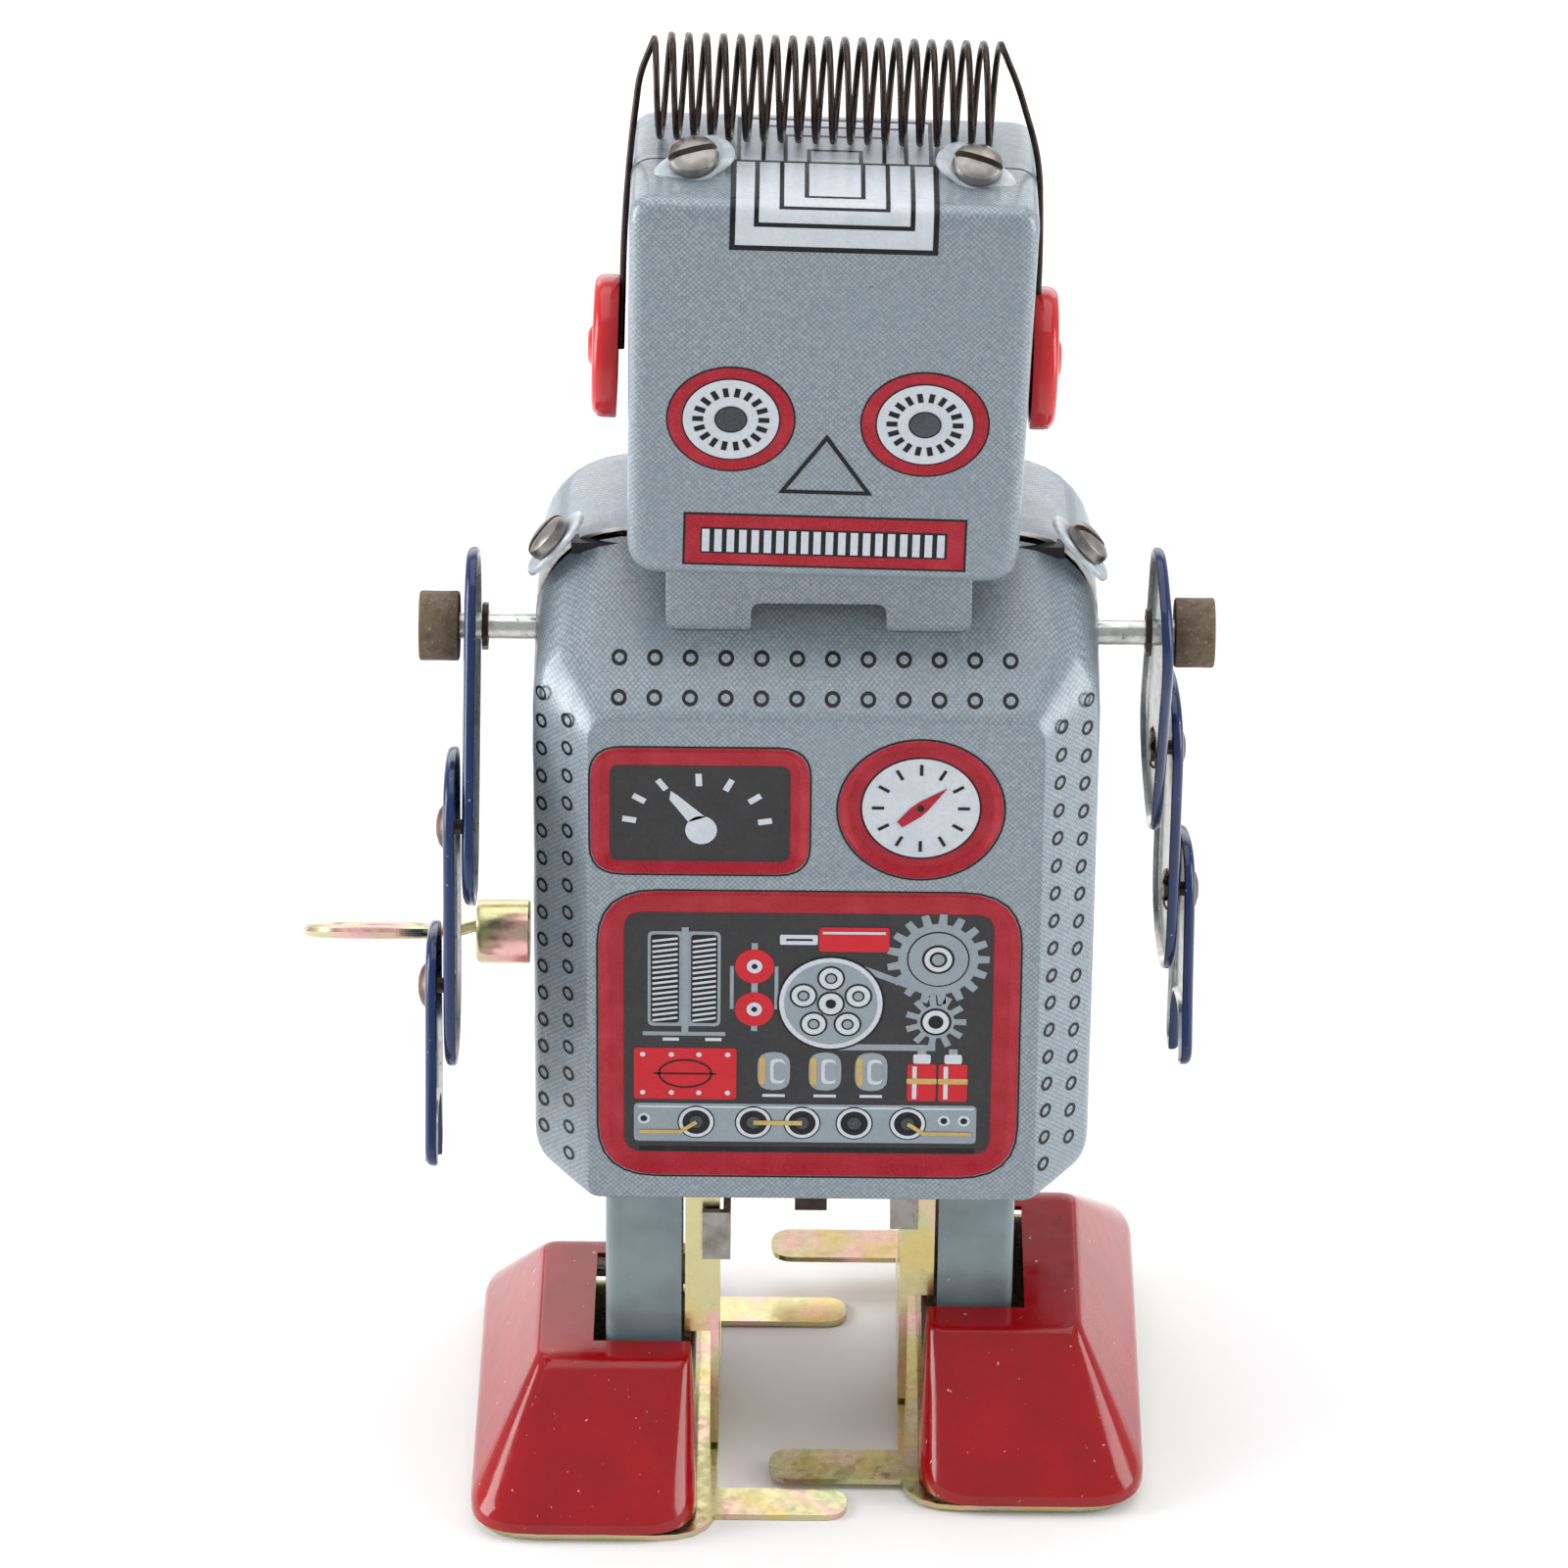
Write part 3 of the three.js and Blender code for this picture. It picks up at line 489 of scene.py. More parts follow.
TIN_PRINT, GRAY, PALE_TIN = printed_tin(), gray_tin(), pale_tin()
BARE = bare_metal("bare_tin", (0.62, 0.62, 0.60), (0.42, 0.40, 0.37), 0.34)
RED = enamel("red_enamel", (0.34, 0.004, 0.007), (0.24, 0.003, 0.006), (0.72, 0.50, 0.50), 0.715)
# The ears' red enamel, made lighter than the other red enamel: real red paint with a painted highlight in it.
EAR_RED_WITH_HIGHLIGHT = enamel("ear_red_enamel_painted_highlight", (0.56, 0.022, 0.026), (0.46, 0.012, 0.016), (0.75, 0.50, 0.50), 0.74)
BLUE = enamel("blue_enamel", (0.009, 0.028, 0.105), (0.006, 0.018, 0.068), (0.30, 0.40, 0.55), 0.71)
ZINC, BUSH = zinc_plate(), bush_rubber()
STEEL = bare_metal("steel", (0.33, 0.31, 0.29), (0.17, 0.15, 0.13), 0.38)
AXLE_STEEL = bare_metal("axle_steel", (0.60, 0.62, 0.60), (0.33, 0.36, 0.34), 0.25, (0.2, 1, 1))
BRONZE = bare_metal("dark_rivet", (0.16, 0.11, 0.085), (0.06, 0.045, 0.04), 0.42)
WIRE_METAL = bare_metal("dark_wire", (0.050, 0.038, 0.034), (0.020, 0.017, 0.016), 0.30)
BRASS = bare_metal("brass", (0.62, 0.46, 0.18), (0.38, 0.27, 0.10), 0.30)
BLACK_INK = ink("black_ink", (0.008, 0.008, 0.010), (0.022, 0.022, 0.026))
WHITE_INK = ink("white_ink", (0.62, 0.66, 0.71), (0.50, 0.54, 0.60))
RED_INK = ink("red_ink", (0.34, 0.010, 0.022), (0.50, 0.045, 0.065), 0.13)
INKS = [
    BLACK_INK, WHITE_INK, RED_INK,
    ink("gray_ink", (0.30, 0.35, 0.39), (0.22, 0.27, 0.31), 0.13),
    ink("dark_gray_ink", (0.045, 0.055, 0.065), (0.10, 0.12, 0.13), 0.2),
    ink("gold_ink", (0.58, 0.42, 0.15), (0.42, 0.28, 0.09)),
    ink("panel_ink", (0.036, 0.036, 0.038), (0.050, 0.050, 0.053)),
    ink("bright_red_ink", (0.60, 0.020, 0.030), (0.50, 0.018, 0.026)),
]
BLACK, WHITE, CRIMSON, SLATE, CHARCOAL, GOLD, PANEL, SCARLET = range(len(INKS))


# ---- printing ----
class Print:
    """Flat ink shapes on a surface: place(u, v, lift) gives a point, and each layer lies a little higher."""

    def __init__(self, place):
        self.place, self.form = place, Form()

    def point(self, p, layer):
        return self.place(p[0], p[1], FIRST_LIFT + LAYER_LIFT * layer)

    def lay(self, flat, faces, color, layer):
        points = [self.point(p, layer) for p in flat]
        out = self.place(flat[0][0], flat[0][1], 1.0) - self.place(flat[0][0], flat[0][1], 0.0)
        turned = []
        for face in faces:
            a, b, c = (points[i] for i in face[:3])
            turned.append(face if (b - a).cross(c - a).dot(out) > 0 else face[::-1])
        self.form.patch(points, turned, color)

    def fill(self, loop, color, layer=0, holes=()):
        loops = [[Vector((p[0], p[1], 0)) for p in each] for each in (loop, *holes)]
        self.lay([p for each in loops for p in each], tessellate_polygon(loops), color, layer)

    def bar(self, path, width, color, layer=0, closed=False):
        """A stripe of one width along a path, mitred at its corners."""
        path = [Vector(p) for p in path]
        last = len(path) - 1
        edges = [[], []]
        for i, here in enumerate(path):
            before = path[i - 1] if i or closed else here
            after = path[(i + 1) % len(path)] if i < last or closed else here
            if (here - before).length < 1e-6:
                before = here * 2 - after
            if (after - here).length < 1e-6:
                after = here * 2 - before
            a, b = (here - before).normalized(), (after - here).normalized()
            across = Vector((-(a + b).y, (a + b).x)).normalized()
            reach = width / 2 / max(0.5, across.dot(Vector((-a.y, a.x))))
            edges[0].append(here + across * reach)
            edges[1].append(here - across * reach)
        count = len(path)
        spans = count if closed else count - 1
        faces = [(i, (i + 1) % count, count + (i + 1) % count, count + i) for i in range(spans)]
        self.lay(edges[0] + edges[1], faces, color, layer)

    def disc(self, centre, radii, color, layer=0, count=32):
        ra, rb = radii if isinstance(radii, tuple) else (radii, radii)
        self.fill(ellipse(*centre, ra, rb, count), color, layer)

    def ring(self, centre, radii, width, color, layer=0, count=32):
        ra, rb = radii if isinstance(radii, tuple) else (radii, radii)
        self.bar(ellipse(*centre, ra, rb, count), width, color, layer, True)

    def target(self, centre, discs, layer=0, count=20):
        """Discs on one centre from the outside in, each (radii, colour) one layer above the last."""
        for step, (radii, color) in enumerate(discs):
            self.disc(centre, radii, color, layer + step, count)

    def box(self, a0, b0, a1, b1, color, layer=0, radius=0.0):
        self.fill(box_loop(a0, b0, a1, b1, radius, steps=4 if radius else 0), color, layer)

    def make(self, name, body, replaces=(), place=ROBOT):
        return make(self.form, name, body, INKS, place, replaces, INK_SHEET, oriented=False)


def on_front(depth):
    """The front panel: a picture on a deeper floor is set lower, so that it stays centred from above."""
    return lambda x, z, lift: Vector((x, FRONT + depth - lift, z - SIGHT_DROP * depth))


# ---- body shells ----
def body_ring(control):
    y, half, top, bottom, high, low = control
    return [Vector((p.x, y, p.y)) for p in box_loop(-half, bottom, half, top, low, high, 9)]


def open_below(front_limit, back_limit):
    """Keeps every face but those of the body's floor between two depths, where the legs pass."""
    def keep(centre):
        low = centre.z < BODY_BOTTOM + 0.3 and abs(centre.x) < 19.5
        return not (low and front_limit < centre.y < back_limit)
    return keep


def front_cup(form, loop_at, floor_ink):
    """A shallow pressed window in the front: a rounded lip, a sloping red wall and a flat floor."""
    steps = ((0.0, 0.0), (0.10, 0.04), (0.22, 0.14), (CUP_SLOPE - 0.2, CUP_DEPTH - 0.1), (CUP_SLOPE, CUP_DEPTH))
    rings = [list(map(front_view(FRONT + depth), loop_at(shrink))) for shrink, depth in steps]
    form.loft(rings, WALL_INK)
    form.cap(rings[-1], ink=floor_ink)
    return rings[0]


# Each control is depth, half width, top, bottom, and the setbacks of the upper and lower corners.
front_path = smooth_path(
    [(-0.2, BODY_HALF, 79.8, BODY_BOTTOM, 8.6, 3.6), (-4.0, BODY_HALF, 77.2, BODY_BOTTOM, 7.6, 3.6),
     (BEVEL_Y, BODY_HALF, 74.1, BODY_BOTTOM, 6.0, 3.6), (BEVEL_MID_Y, BEVEL_MID_X, 71.8, BODY_BOTTOM, 4.0, 2.2),
     (FRONT, BEVEL_X, CHEST_EDGE, BODY_BOTTOM, 2.4, 1.2),
     (FRONT, BEVEL_X - 0.15, CHEST_EDGE - 0.5, BODY_BOTTOM + 0.6, 1.6, 0.9)],
    [0.5, 0.9, 0.3, 1.1])
SHELL_INKS = [TIN_PRINT, BARE, RED_INK, BARE, WHITE_INK, BARE]
WALL_INK, DIAL_INK = 2, 4
front = Form()
rings = [body_ring(control) for control in front_path]
front.loft(rings, keep=open_below(-11.3, 1.0))
x, z, dial_x, dial_z = DIAL_WINDOW
windows = [
    front_cup(front, lambda s: shrunk(GAUGE_WINDOW, s, GAUGE_CORNER - s), WALL_INK),
    front_cup(front, lambda s: ellipse(x, z, dial_x - s, dial_z - s, 56), DIAL_INK),
    front_cup(front, lambda s: shrunk(MACHINE_WINDOW, s, MACHINE_CORNER - s), WALL_INK),
]
front.cap(rings[-1], windows)
make(front, "chest_front", "body", SHELL_INKS, replaces=["body_front_shell"], shell=TIN)

back_path = smooth_path(
    [(0.2, BODY_HALF, BODY_TOP, BODY_BOTTOM, 8.6, 3.6), (BODY_BACK, BODY_HALF, BODY_TOP, BODY_BOTTOM, 8.6, 3.6),
     (BODY_BACK, 17.0, 75.5, 30.5, 6.0, 3.0)], [3.6])
back = Form()
rings = [body_ring(control) for control in back_path]
back.loft(rings, keep=open_below(-1.0, 15.2))
panel = [list(map(front_view(BODY_BACK - depth), shrunk(BACK_PANEL, shrink, 3.0)))
         for shrink, depth in ((0, 0), (0.3, 0.12), (0.9, BACK_PANEL_DEPTH - 0.1), (1.2, BACK_PANEL_DEPTH))]
back.loft(panel)
back.cap(panel[-1])
back.cap(rings[-1], [panel[0]])
make(back, "chest_back", "body", [TIN_PRINT, BARE], replaces=["body_back_shell"], shell=TIN)

# Folded tabs hold the back shell to the front one along the sides.
tabs = Form()
for _, side in SIDES:
    for z in (36.0, 49.0, 62.0):
        tab = (-2.6, z - 1.6, 0.9, z + 1.6)
        tabs.closed_loft([list(map(side_view(side * (BODY_HALF + out)), shrunk(tab, shrink, 0.7)))
                          for out, shrink in ((-0.3, 0.0), (0.12, 0.0), (0.2, 0.12))])
make(tabs, "side_tabs", "body", [TIN_PRINT])

# Black blocks in the slot between the two shells at the top, either side of the head: painted shadow standing
# in for the dark gap.
seam_shadow_blocks = Form()
for _, side in SIDES:
    corners = ((11.0, -0.7), (19.5, -0.7), (19.5, 0.9), (11.0, 0.9))
    seam_shadow_blocks.closed_loft([[Vector((side * x, y, z)) for x, y in corners] for z in (78.4, 79.35)])
make(seam_shadow_blocks, "shoulder_seam_shadow", "body", [BLACK_INK])

# ---- the sheet neck: a plate that stands on the chest slope on two broad feet ----
NECK_LEFT, NECK_RIGHT, NECK_TOP, NECK_FOOT, NECK_ARCH = -11.9, 12.1, 84.0, 75.0, 77.3
neck_outline = rounded([
    (NECK_LEFT, NECK_TOP, 0.3), (NECK_LEFT, NECK_FOOT, 0.9), (-5.2, NECK_FOOT, 0.5), (-5.2, NECK_ARCH, 0.9),
    (5.4, NECK_ARCH, 0.9), (5.4, NECK_FOOT, 0.5), (NECK_RIGHT, NECK_FOOT, 0.9), (NECK_RIGHT, NECK_TOP, 0.3)], 5)
neck_sheet = Form()
neck_sheet.closed_loft([list(map(front_view(y), inset(neck_outline, shrink))) for y, shrink in
                        ((-6.5, 0.12), (-6.6, 0.0), (-7.05, 0.0), (-7.15, 0.05), (-7.2, 0.16))])
make(neck_sheet, "neck_sheet", "body", [TIN_PRINT], ROBOT, ["neck_bracket"])


# ---- printed dots ----
def on_slope(x, y, lift):
    """The chest's slope, with the lift along its normal."""
    return Vector((x, y - 0.62 * lift, CHEST_EDGE + CHEST_RISE * (y - FRONT) + 0.78 * lift))


def on_bevel(side):
    """A bevel beside the front: u runs back from the front edge, and the lift clears its slight bulge."""
    run = Vector((BODY_HALF - BEVEL_X, BEVEL_Y - FRONT)).normalized()

    def place(u, z, lift):
        out = lift + BEVEL_BULGE
        return Vector((side * (BEVEL_X + u * run.x + out * run.y), FRONT + u * run.y - out * run.x, z))
    return place


CHEST_COLUMNS = [-15.5 + 2.79 * i for i in range(12)]
chest_dots = Print(on_slope)
for y in (-8.9, -11.6):
    for x in CHEST_COLUMNS:
        chest_dots.ring((x, y), (0.5, 0.44), 0.26, BLACK, 0, 18)
chest_dots.make("chest_dots", "body")
for name, side in SIDES:
    bevel_dots = Print(on_bevel(side))
    shift, drift = (0.45, 0.0) if side < 0 else (0.05, -0.06)
    for column, top in ((1.9, 69.0), (5.05, 70.2)):
        for i in range(17):
            bevel_dots.ring((column + shift + drift * i, top - 2.45 * i), (0.55, 0.5), 0.22, BLACK, 0, 18)
    bevel_dots.make(f"bevel_dots_{name}", "body")

# ---- the back: dotted rings along its edges and a framed plate of bars ----
BACK_DOTS_X, BACK_DOTS_Z, BACK_DOT_STEP = 15.5, 33.2, 2.77
back_print = Print(lambda x, z, lift: Vector((x, BODY_BACK + lift, z)))
places = [(x, BACK_DOTS_Z + BACK_DOT_STEP * i) for i in range(15) for x in (-BACK_DOTS_X, BACK_DOTS_X)]
places += [(-15.3 + BACK_DOT_STEP * i, 74.2) for i in range(12)]
for place in places:
    back_print.ring(place, 0.5, 0.2, BLACK, 0, 18)
back_print.make("back_dots", "body")
plate_print = Print(lambda x, z, lift: Vector((x, BODY_BACK - BACK_PANEL_DEPTH + lift, z)))
plate_print.bar(box_loop(-10.5, 36.6, 10.5, 68.4, 2.0), 0.35, BLACK, 0, True)
for i in range(9):
    z = 39.6 + 3.2 * i
    plate_print.box(-7.6, z, 7.6, z + 1.3, BLACK, 0, 0.6)
    plate_print.box(-7.3, z + 0.25, 7.3, z + 1.05, SLATE, 1, 0.4)
plate_print.make("back_plate_print", "body")

# ---- thin black outlines round the three windows ----
x, z, dial_x, dial_z = DIAL_WINDOW
outlines = Print(on_front(0.0))
for loop in (shrunk(GAUGE_WINDOW, -0.1, GAUGE_CORNER), ellipse(x, z, dial_x + 0.1, dial_z + 0.1, 64),
             shrunk(MACHINE_WINDOW, -0.1, MACHINE_CORNER)):
    outlines.bar(loop, 0.17, BLACK, 0, True)
outlines.make("window_outlines", "body")

# ---- the rectangular gauge ----
GAUGE_TICKS = ((-14.67, 61.2), (-13.9, 63.06), (-12.1, 64.3), (-9.2, 64.75), (-6.84, 64.3), (-4.78, 63.1),
               (-3.97, 61.1))
GAUGE_HAND = ((-1.0, 0.7), (-2.5, 2.7), (-2.4, 3.45), (-1.9, 3.1), (0.35, 1.15))
gauge = Print(on_front(CUP_DEPTH))
gauge.box(-16.2, 57.5, -2.0, 66.0, PANEL, 0, 0.8)
hub = Vector((-9.0, 60.3))
gauge.disc(hub, 1.25, WHITE, 1)
gauge.fill([hub + Vector(p) for p in GAUGE_HAND], WHITE, 1)
for tick in map(Vector, GAUGE_TICKS):
    out = (tick - hub).normalized() * 0.55
    gauge.bar([tick - out, tick + out], 0.5, WHITE, 1)
gauge.make("gauge_print", "body")

# ---- the round dial ----
dial = Print(on_front(CUP_DEPTH))
centre = Vector((8.3, 62.4))
dial.ring(centre, (5.2, 4.95), 1.15, CRIMSON, 0, 56)
dial.ring(centre, (4.72, 4.45), 0.14, BLACK, 1, 56)
for i in range(12):
    ray = Vector((math.cos(i * math.pi / 6), math.sin(i * math.pi / 6)))
    dial.bar([centre + ray * 2.9, centre + ray * 3.85], 0.26, BLACK, 1)
along = Vector((3.61, 3.15)).normalized()
aside = Vector((-along.y, along.x))
pointer = ((-2.2, 0.32), (-2.2, -0.32), (-0.55, -0.55), (0.3, -0.5), (2.75, 0.0), (0.3, 0.5), (-0.55, 0.55))
dial.fill([centre + along * a + aside * b for a, b in pointer], CRIMSON, 2)
dial.disc(centre, 0.28, BLACK, 3, 16)
dial.make("dial_print", "body")

# ---- the machine panel: rollers, bobbins, wheels, lamps and sockets ----
machine = Print(on_front(CUP_DEPTH))
machine.box(-15.1, 31.0, 14.3, 52.9, PANEL, 0, 1.5)
# A black strip along the panel's bottom edge: painted shade along its lower edge, not printed art.
machine.bar([(-13.9, 31.3), (13.1, 31.3)], 0.45, BLACK, 1)


def gear_loop(centre, root, tip, teeth):
    loop = []
    for tooth in range(teeth):
        for share, radius in ((-0.30, root), (-0.2, tip), (0.2, tip), (0.30, root)):
            angle = 2 * math.pi * (tooth + share) / teeth
            loop.append(Vector(centre) + radius * Vector((math.cos(angle), math.sin(angle))))
    return loop


# Two ribbed rollers in a frame.
machine.box(-13.2, 42.6, -7.4, 51.2, SLATE, 1, 0.5)
for x0, x1 in ((-12.95, -10.7), (-9.75, -7.65)):
    machine.box(x0, 42.9, x1, 50.9, BLACK, 2, 0.3)
    for row in range(16):
        z = 43.1 + 0.48 * row
        machine.bar([(x0 + 0.12, z), (x1 - 0.12, z + 0.28)], 0.2, WHITE, 3)
machine.box(-10.5, 42.0, -9.95, 51.6, SLATE, 3)
machine.bar([(-13.6, 41.9), (-7.0, 41.9)], 0.35, SLATE, 1)

# Two bobbins on one spindle.
BOBBIN_X, BOBBIN_TOP, BOBBIN_LOW = -4.7, 48.1, 44.2
for z in (BOBBIN_TOP, BOBBIN_LOW):
    for radius, color, layer, count in ((1.55, SCARLET, 2, 32), (0.62, WHITE, 3, 20), (0.24, BLACK, 4, 12)):
        machine.disc((BOBBIN_X, z), radius, color, layer, count)
for x in (-6.5, -2.95):
    machine.bar([(x, BOBBIN_TOP), (x, BOBBIN_LOW)], 0.3, SLATE, 1)
machine.bar([(BOBBIN_X, 50.2), (BOBBIN_X, 42.2)], 0.5, SLATE, 1)

# A wheel with five holes, its belt, a small gear and a large one.
wheel, small_gear, large_gear = Vector((1.4, 44.8)), Vector((9.8, 43.2)), Vector((9.9, 48.9))
machine.bar([wheel + Vector((0.4, 4.0)), (9.8, 45.6)], 0.55, SLATE, 1)
machine.bar([wheel + Vector((0.4, -4.0)), (9.8, 40.8)], 0.55, SLATE, 1)
machine.target(wheel, ((4.3, BLACK), (4.12, WHITE), (3.72, SLATE)), 2, 48)
for i in range(5):
    angle = math.pi / 2 + i * 0.4 * math.pi
    hole = wheel + 2.3 * Vector((math.cos(angle), math.sin(angle)))
    machine.target(hole, ((1.12, BLACK), (0.95, WHITE), (0.5, BLACK), (0.36, SLATE)), 5)
machine.target(wheel, ((1.12, BLACK), (0.95, WHITE), (0.42, BLACK)), 6)
machine.fill(gear_loop(small_gear, 1.5, 2.45, 11), SLATE, 2)
machine.target(small_gear, ((1.25, BLACK), (1.05, WHITE), (0.6, BLACK)), 3, 24)
machine.fill(gear_loop(large_gear, 3.2, 4.1, 17), SLATE, 2)
gear_rings = ((2.5, BLACK), (2.38, SLATE), (1.3, BLACK), (1.1, WHITE), (0.7, BLACK), (0.5, SLATE))
machine.target(large_gear, gear_rings, 3, 32)

# A piston, a cover plate, three lamps and two cells.
machine.box(0.4, 49.5, 6.0, 51.7, SCARLET, 3, 0.3)
machine.bar([(0.7, 51.2), (5.7, 51.2)], 0.22, WHITE, 4)
machine.box(-2.7, 50.1, 0.3, 51.0, WHITE, 3, 0.15)
machine.bar([(-2.2, 50.55), (-0.1, 50.55)], 0.18, BLACK, 4)
PLATE_Z = 38.25
machine.box(-14.3, 35.9, -6.1, 40.6, SCARLET, 2, 0.25)
machine.ring((-10.2, PLATE_Z), (2.1, 1.25), 0.16, BLACK, 3, 32)
machine.bar([(-12.7, PLATE_Z), (-7.7, PLATE_Z)], 0.16, BLACK, 3)
for x in (-13.6, -11.3, -9.1, -6.8):
    for z in (36.5, 40.0):
        machine.disc((x, z), 0.22, WHITE, 3, 12)
for x in (-12.0, -8.6):
    machine.bar([(x, 41.4), (x + 1.3, 41.4)], 0.28, WHITE, 2)
for x in (-4.4, -0.3, 3.4):
    machine.box(x, 36.8, x + 2.6, 40.3, SLATE, 2, 1.2)
    machine.box(x + 0.12, 37.3, x + 0.62, 39.8, GOLD, 3, 0.22)
    machine.box(x + 1.0, 37.4, x + 2.2, 39.7, WHITE, 3, 0.55)
    machine.box(x + 1.3, 37.7, x + 2.2, 39.4, SLATE, 4, 0.4)
    machine.bar([(x + 0.4, 36.3), (x + 2.2, 36.3)], 0.25, WHITE, 2)
for x in (7.6, 10.1):
    machine.box(x, 35.9, x + 2.3, 39.3, SCARLET, 2, 0.2)
    machine.box(x + 0.4, 36.1, x + 0.75, 39.1, WHITE, 3)
    machine.box(x - 0.05, 37.5, x + 2.35, 38.0, GOLD, 4, 0.1)
    machine.box(x + 0.45, 39.35, x + 1.85, 40.2, WHITE, 2, 0.2)
    machine.box(x + 0.8, 40.2, x + 1.5, 40.7, SLATE, 2)

# A strip with five sockets, three leads and three screws.
SOCKET_Z, LEAD_Z = 33.8, 32.9
machine.box(-14.3, 32.0, 13.2, 35.5, SLATE, 2, 0.4)
machine.bar([(-14.0, 35.2), (13.0, 35.2)], 0.16, WHITE, 3)
machine.bar([(-9.3, SOCKET_Z), (-10.6, LEAD_Z), (-13.9, LEAD_Z)], 0.34, GOLD, 6)
machine.bar([(-4.7, SOCKET_Z), (-0.8, SOCKET_Z)], 0.40, GOLD, 6)
machine.bar([(7.7, SOCKET_Z), (9.0, LEAD_Z), (12.8, LEAD_Z)], 0.34, GOLD, 6)
for x in (-9.3, -4.7, -0.8, 3.4, 7.7):
    machine.disc((x, SOCKET_Z), 1.5, BLACK, 3)
    machine.ring((x, SOCKET_Z), 1.25, 0.28, WHITE, 4, 28)
    machine.disc((x, SOCKET_Z), 0.55, CHARCOAL, 5, 20)
for x in (-13.5, 10.6, 12.2):
    machine.disc((x, SOCKET_Z + 0.3), 0.5, WHITE, 3, 16)
    machine.disc((x, SOCKET_Z + 0.3), 0.28, BLACK, 4, 12)
machine.make("machine_print", "body")


# ---- head ----
def head_ring(y, shrink):
    half = HEAD_HALF - shrink
    bottom, top = HEAD_BOTTOM + shrink, HEAD_TOP - shrink
    corners = [(-half + 0.5, bottom, 2.7), (half - 0.5, bottom, 2.7), (half, top, 2.0), (-half, top, 2.0)]
    return list(map(front_view(y), rounded(corners, 8)))


def head_shell(name, straight, wall, direction, node):
    """A half of the head: straight walls at some depths, then an edge rounded over to a flat wall."""
    rings = [head_ring(y, 0) for y in straight]
    for k in range(9):
        t = k / 8
        rings.append(head_ring(wall - direction * HEAD_ROUND * (1 - t) ** 2, HEAD_ROUND * t * t))
    shell = Form()
    shell.loft(rings, keep=lambda c: not (c.z < HEAD_BOTTOM + 0.3 and NECK_SLOT[0] < c.y < NECK_SLOT[1]))
    shell.cap(rings[-1])
    make(shell, name, "body", [TIN_PRINT, BARE], HEAD, [node], TIN)


head_shell("head_front", (HEAD_SEAM - SEAM_HALF, *NECK_SLOT[::-1]), HEAD_FRONT, -1, "head_front_shell")
head_shell("head_back", (HEAD_SEAM + SEAM_HALF, 2.0), HEAD_BACK, 1, "head_back_shell")

# ---- the face ----
EYE_RINGS = (((5.0, 4.45), BLACK), ((4.86, 4.31), CRIMSON), ((3.82, 3.45), BLACK), ((3.70, 3.33), WHITE))
PUPIL = (1.22, 1.07)
features = Print(lambda x, z, lift: Vector((x, HEAD_FRONT - lift, z)))
for x in (-7.45, 7.5):
    eye = Vector((x, 94.86))
    features.target(eye, EYE_RINGS, 0, 56)
    for i in range(18):
        ray = Vector((1.12 * math.cos(i * math.pi / 9), math.sin(i * math.pi / 9)))
        features.bar([eye + ray * 1.9, eye + ray * 2.65], 0.42, BLACK, 4)
    features.disc(eye, PUPIL, CHARCOAL, 4)
    features.ring(eye, PUPIL, 0.10, BLACK, 5)
features.bar([(0.0, 93.5), (-3.35, 88.85), (3.35, 88.85)], 0.34, BLACK, 1, True)
features.box(-10.9, 82.35, 11.1, 86.85, BLACK, 0)
features.box(-10.72, 82.53, 10.92, 86.67, CRIMSON, 1)
features.box(-9.55, 83.4, 9.60, 85.62, BLACK, 2, 0.1)
for i in range(20):
    x = -9.42 + 0.96 * i
    features.box(x, 83.55, x + 0.58, 85.47, WHITE, 3)
features.make("face_print", "body", place=HEAD)


def over_head(x, s, lift):
    """A point on the head: s runs up the face, over the rounded edge and back along the top."""
    if s < -HEAD_ROUND:
        return Vector((x, HEAD_FRONT - lift, HEAD_TOP + s))
    if s > HEAD_ROUND:
        return Vector((x, HEAD_FRONT + s, HEAD_TOP + lift))
    t = (s + HEAD_ROUND) / (2 * HEAD_ROUND)
    y = HEAD_FRONT + HEAD_ROUND * t * t
    z = HEAD_TOP - HEAD_ROUND * (1 - t) ** 2
    out = Vector((0, -(1 - t), t)).normalized() * lift
    return Vector((x, y, z)) + out


def finely(path, step=0.2):
    """A path with extra points so that it bends with the surface below it."""
    fine = []
    for a, b in zip(path, path[1:]):
        a, b = Vector(a), Vector(b)
        count = max(1, int((b - a).length / step))
        fine += [a.lerp(b, i / count) for i in range(count)]
    return fine + [Vector(path[-1])]


def strips(print_, half, s0, s1, color, layer):
    """A filled patch over the head between s0 and s1, in narrow strips."""
    count = max(1, int((s1 - s0) / 0.2))
    rows = [s0 + (s1 - s0) * i / count for i in range(count + 1)]
    flat = [Vector((x, s)) for s in rows for x in (-half, half)]
    print_.lay(flat, [(2 * i, 2 * i + 1, 2 * i + 3, 2 * i + 2) for i in range(count)], color, layer)


seam = HEAD_SEAM - HEAD_FRONT
forehead = Print(over_head)
strips(forehead, 7.75, -3.5, seam - 0.2, WHITE, 0)
strips(forehead, 7.4, seam + 0.2, 17.0, WHITE, 0)
for half, s, width in ((7.75, -3.5, 0.42), (5.95, -1.55, 0.36), (4.05, 0.15, 0.34), (2.15, 1.9, 0.34)):
    frame_line = [(-half, seam - 0.2), (-half, s), (half, s), (half, seam - 0.2)]
    forehead.bar(finely(frame_line), width, BLACK, 1)
for half, s in ((7.4, 17.0), (5.5, 15.6), (3.8, 13.8), (2.0, 11.0)):
    frame_line = [(-half, seam + 0.2), (-half, s), (half, s), (half, seam + 0.2)]
    forehead.bar(finely(frame_line), 0.32, BLACK, 1)
forehead.make("forehead_print", "body", place=HEAD)

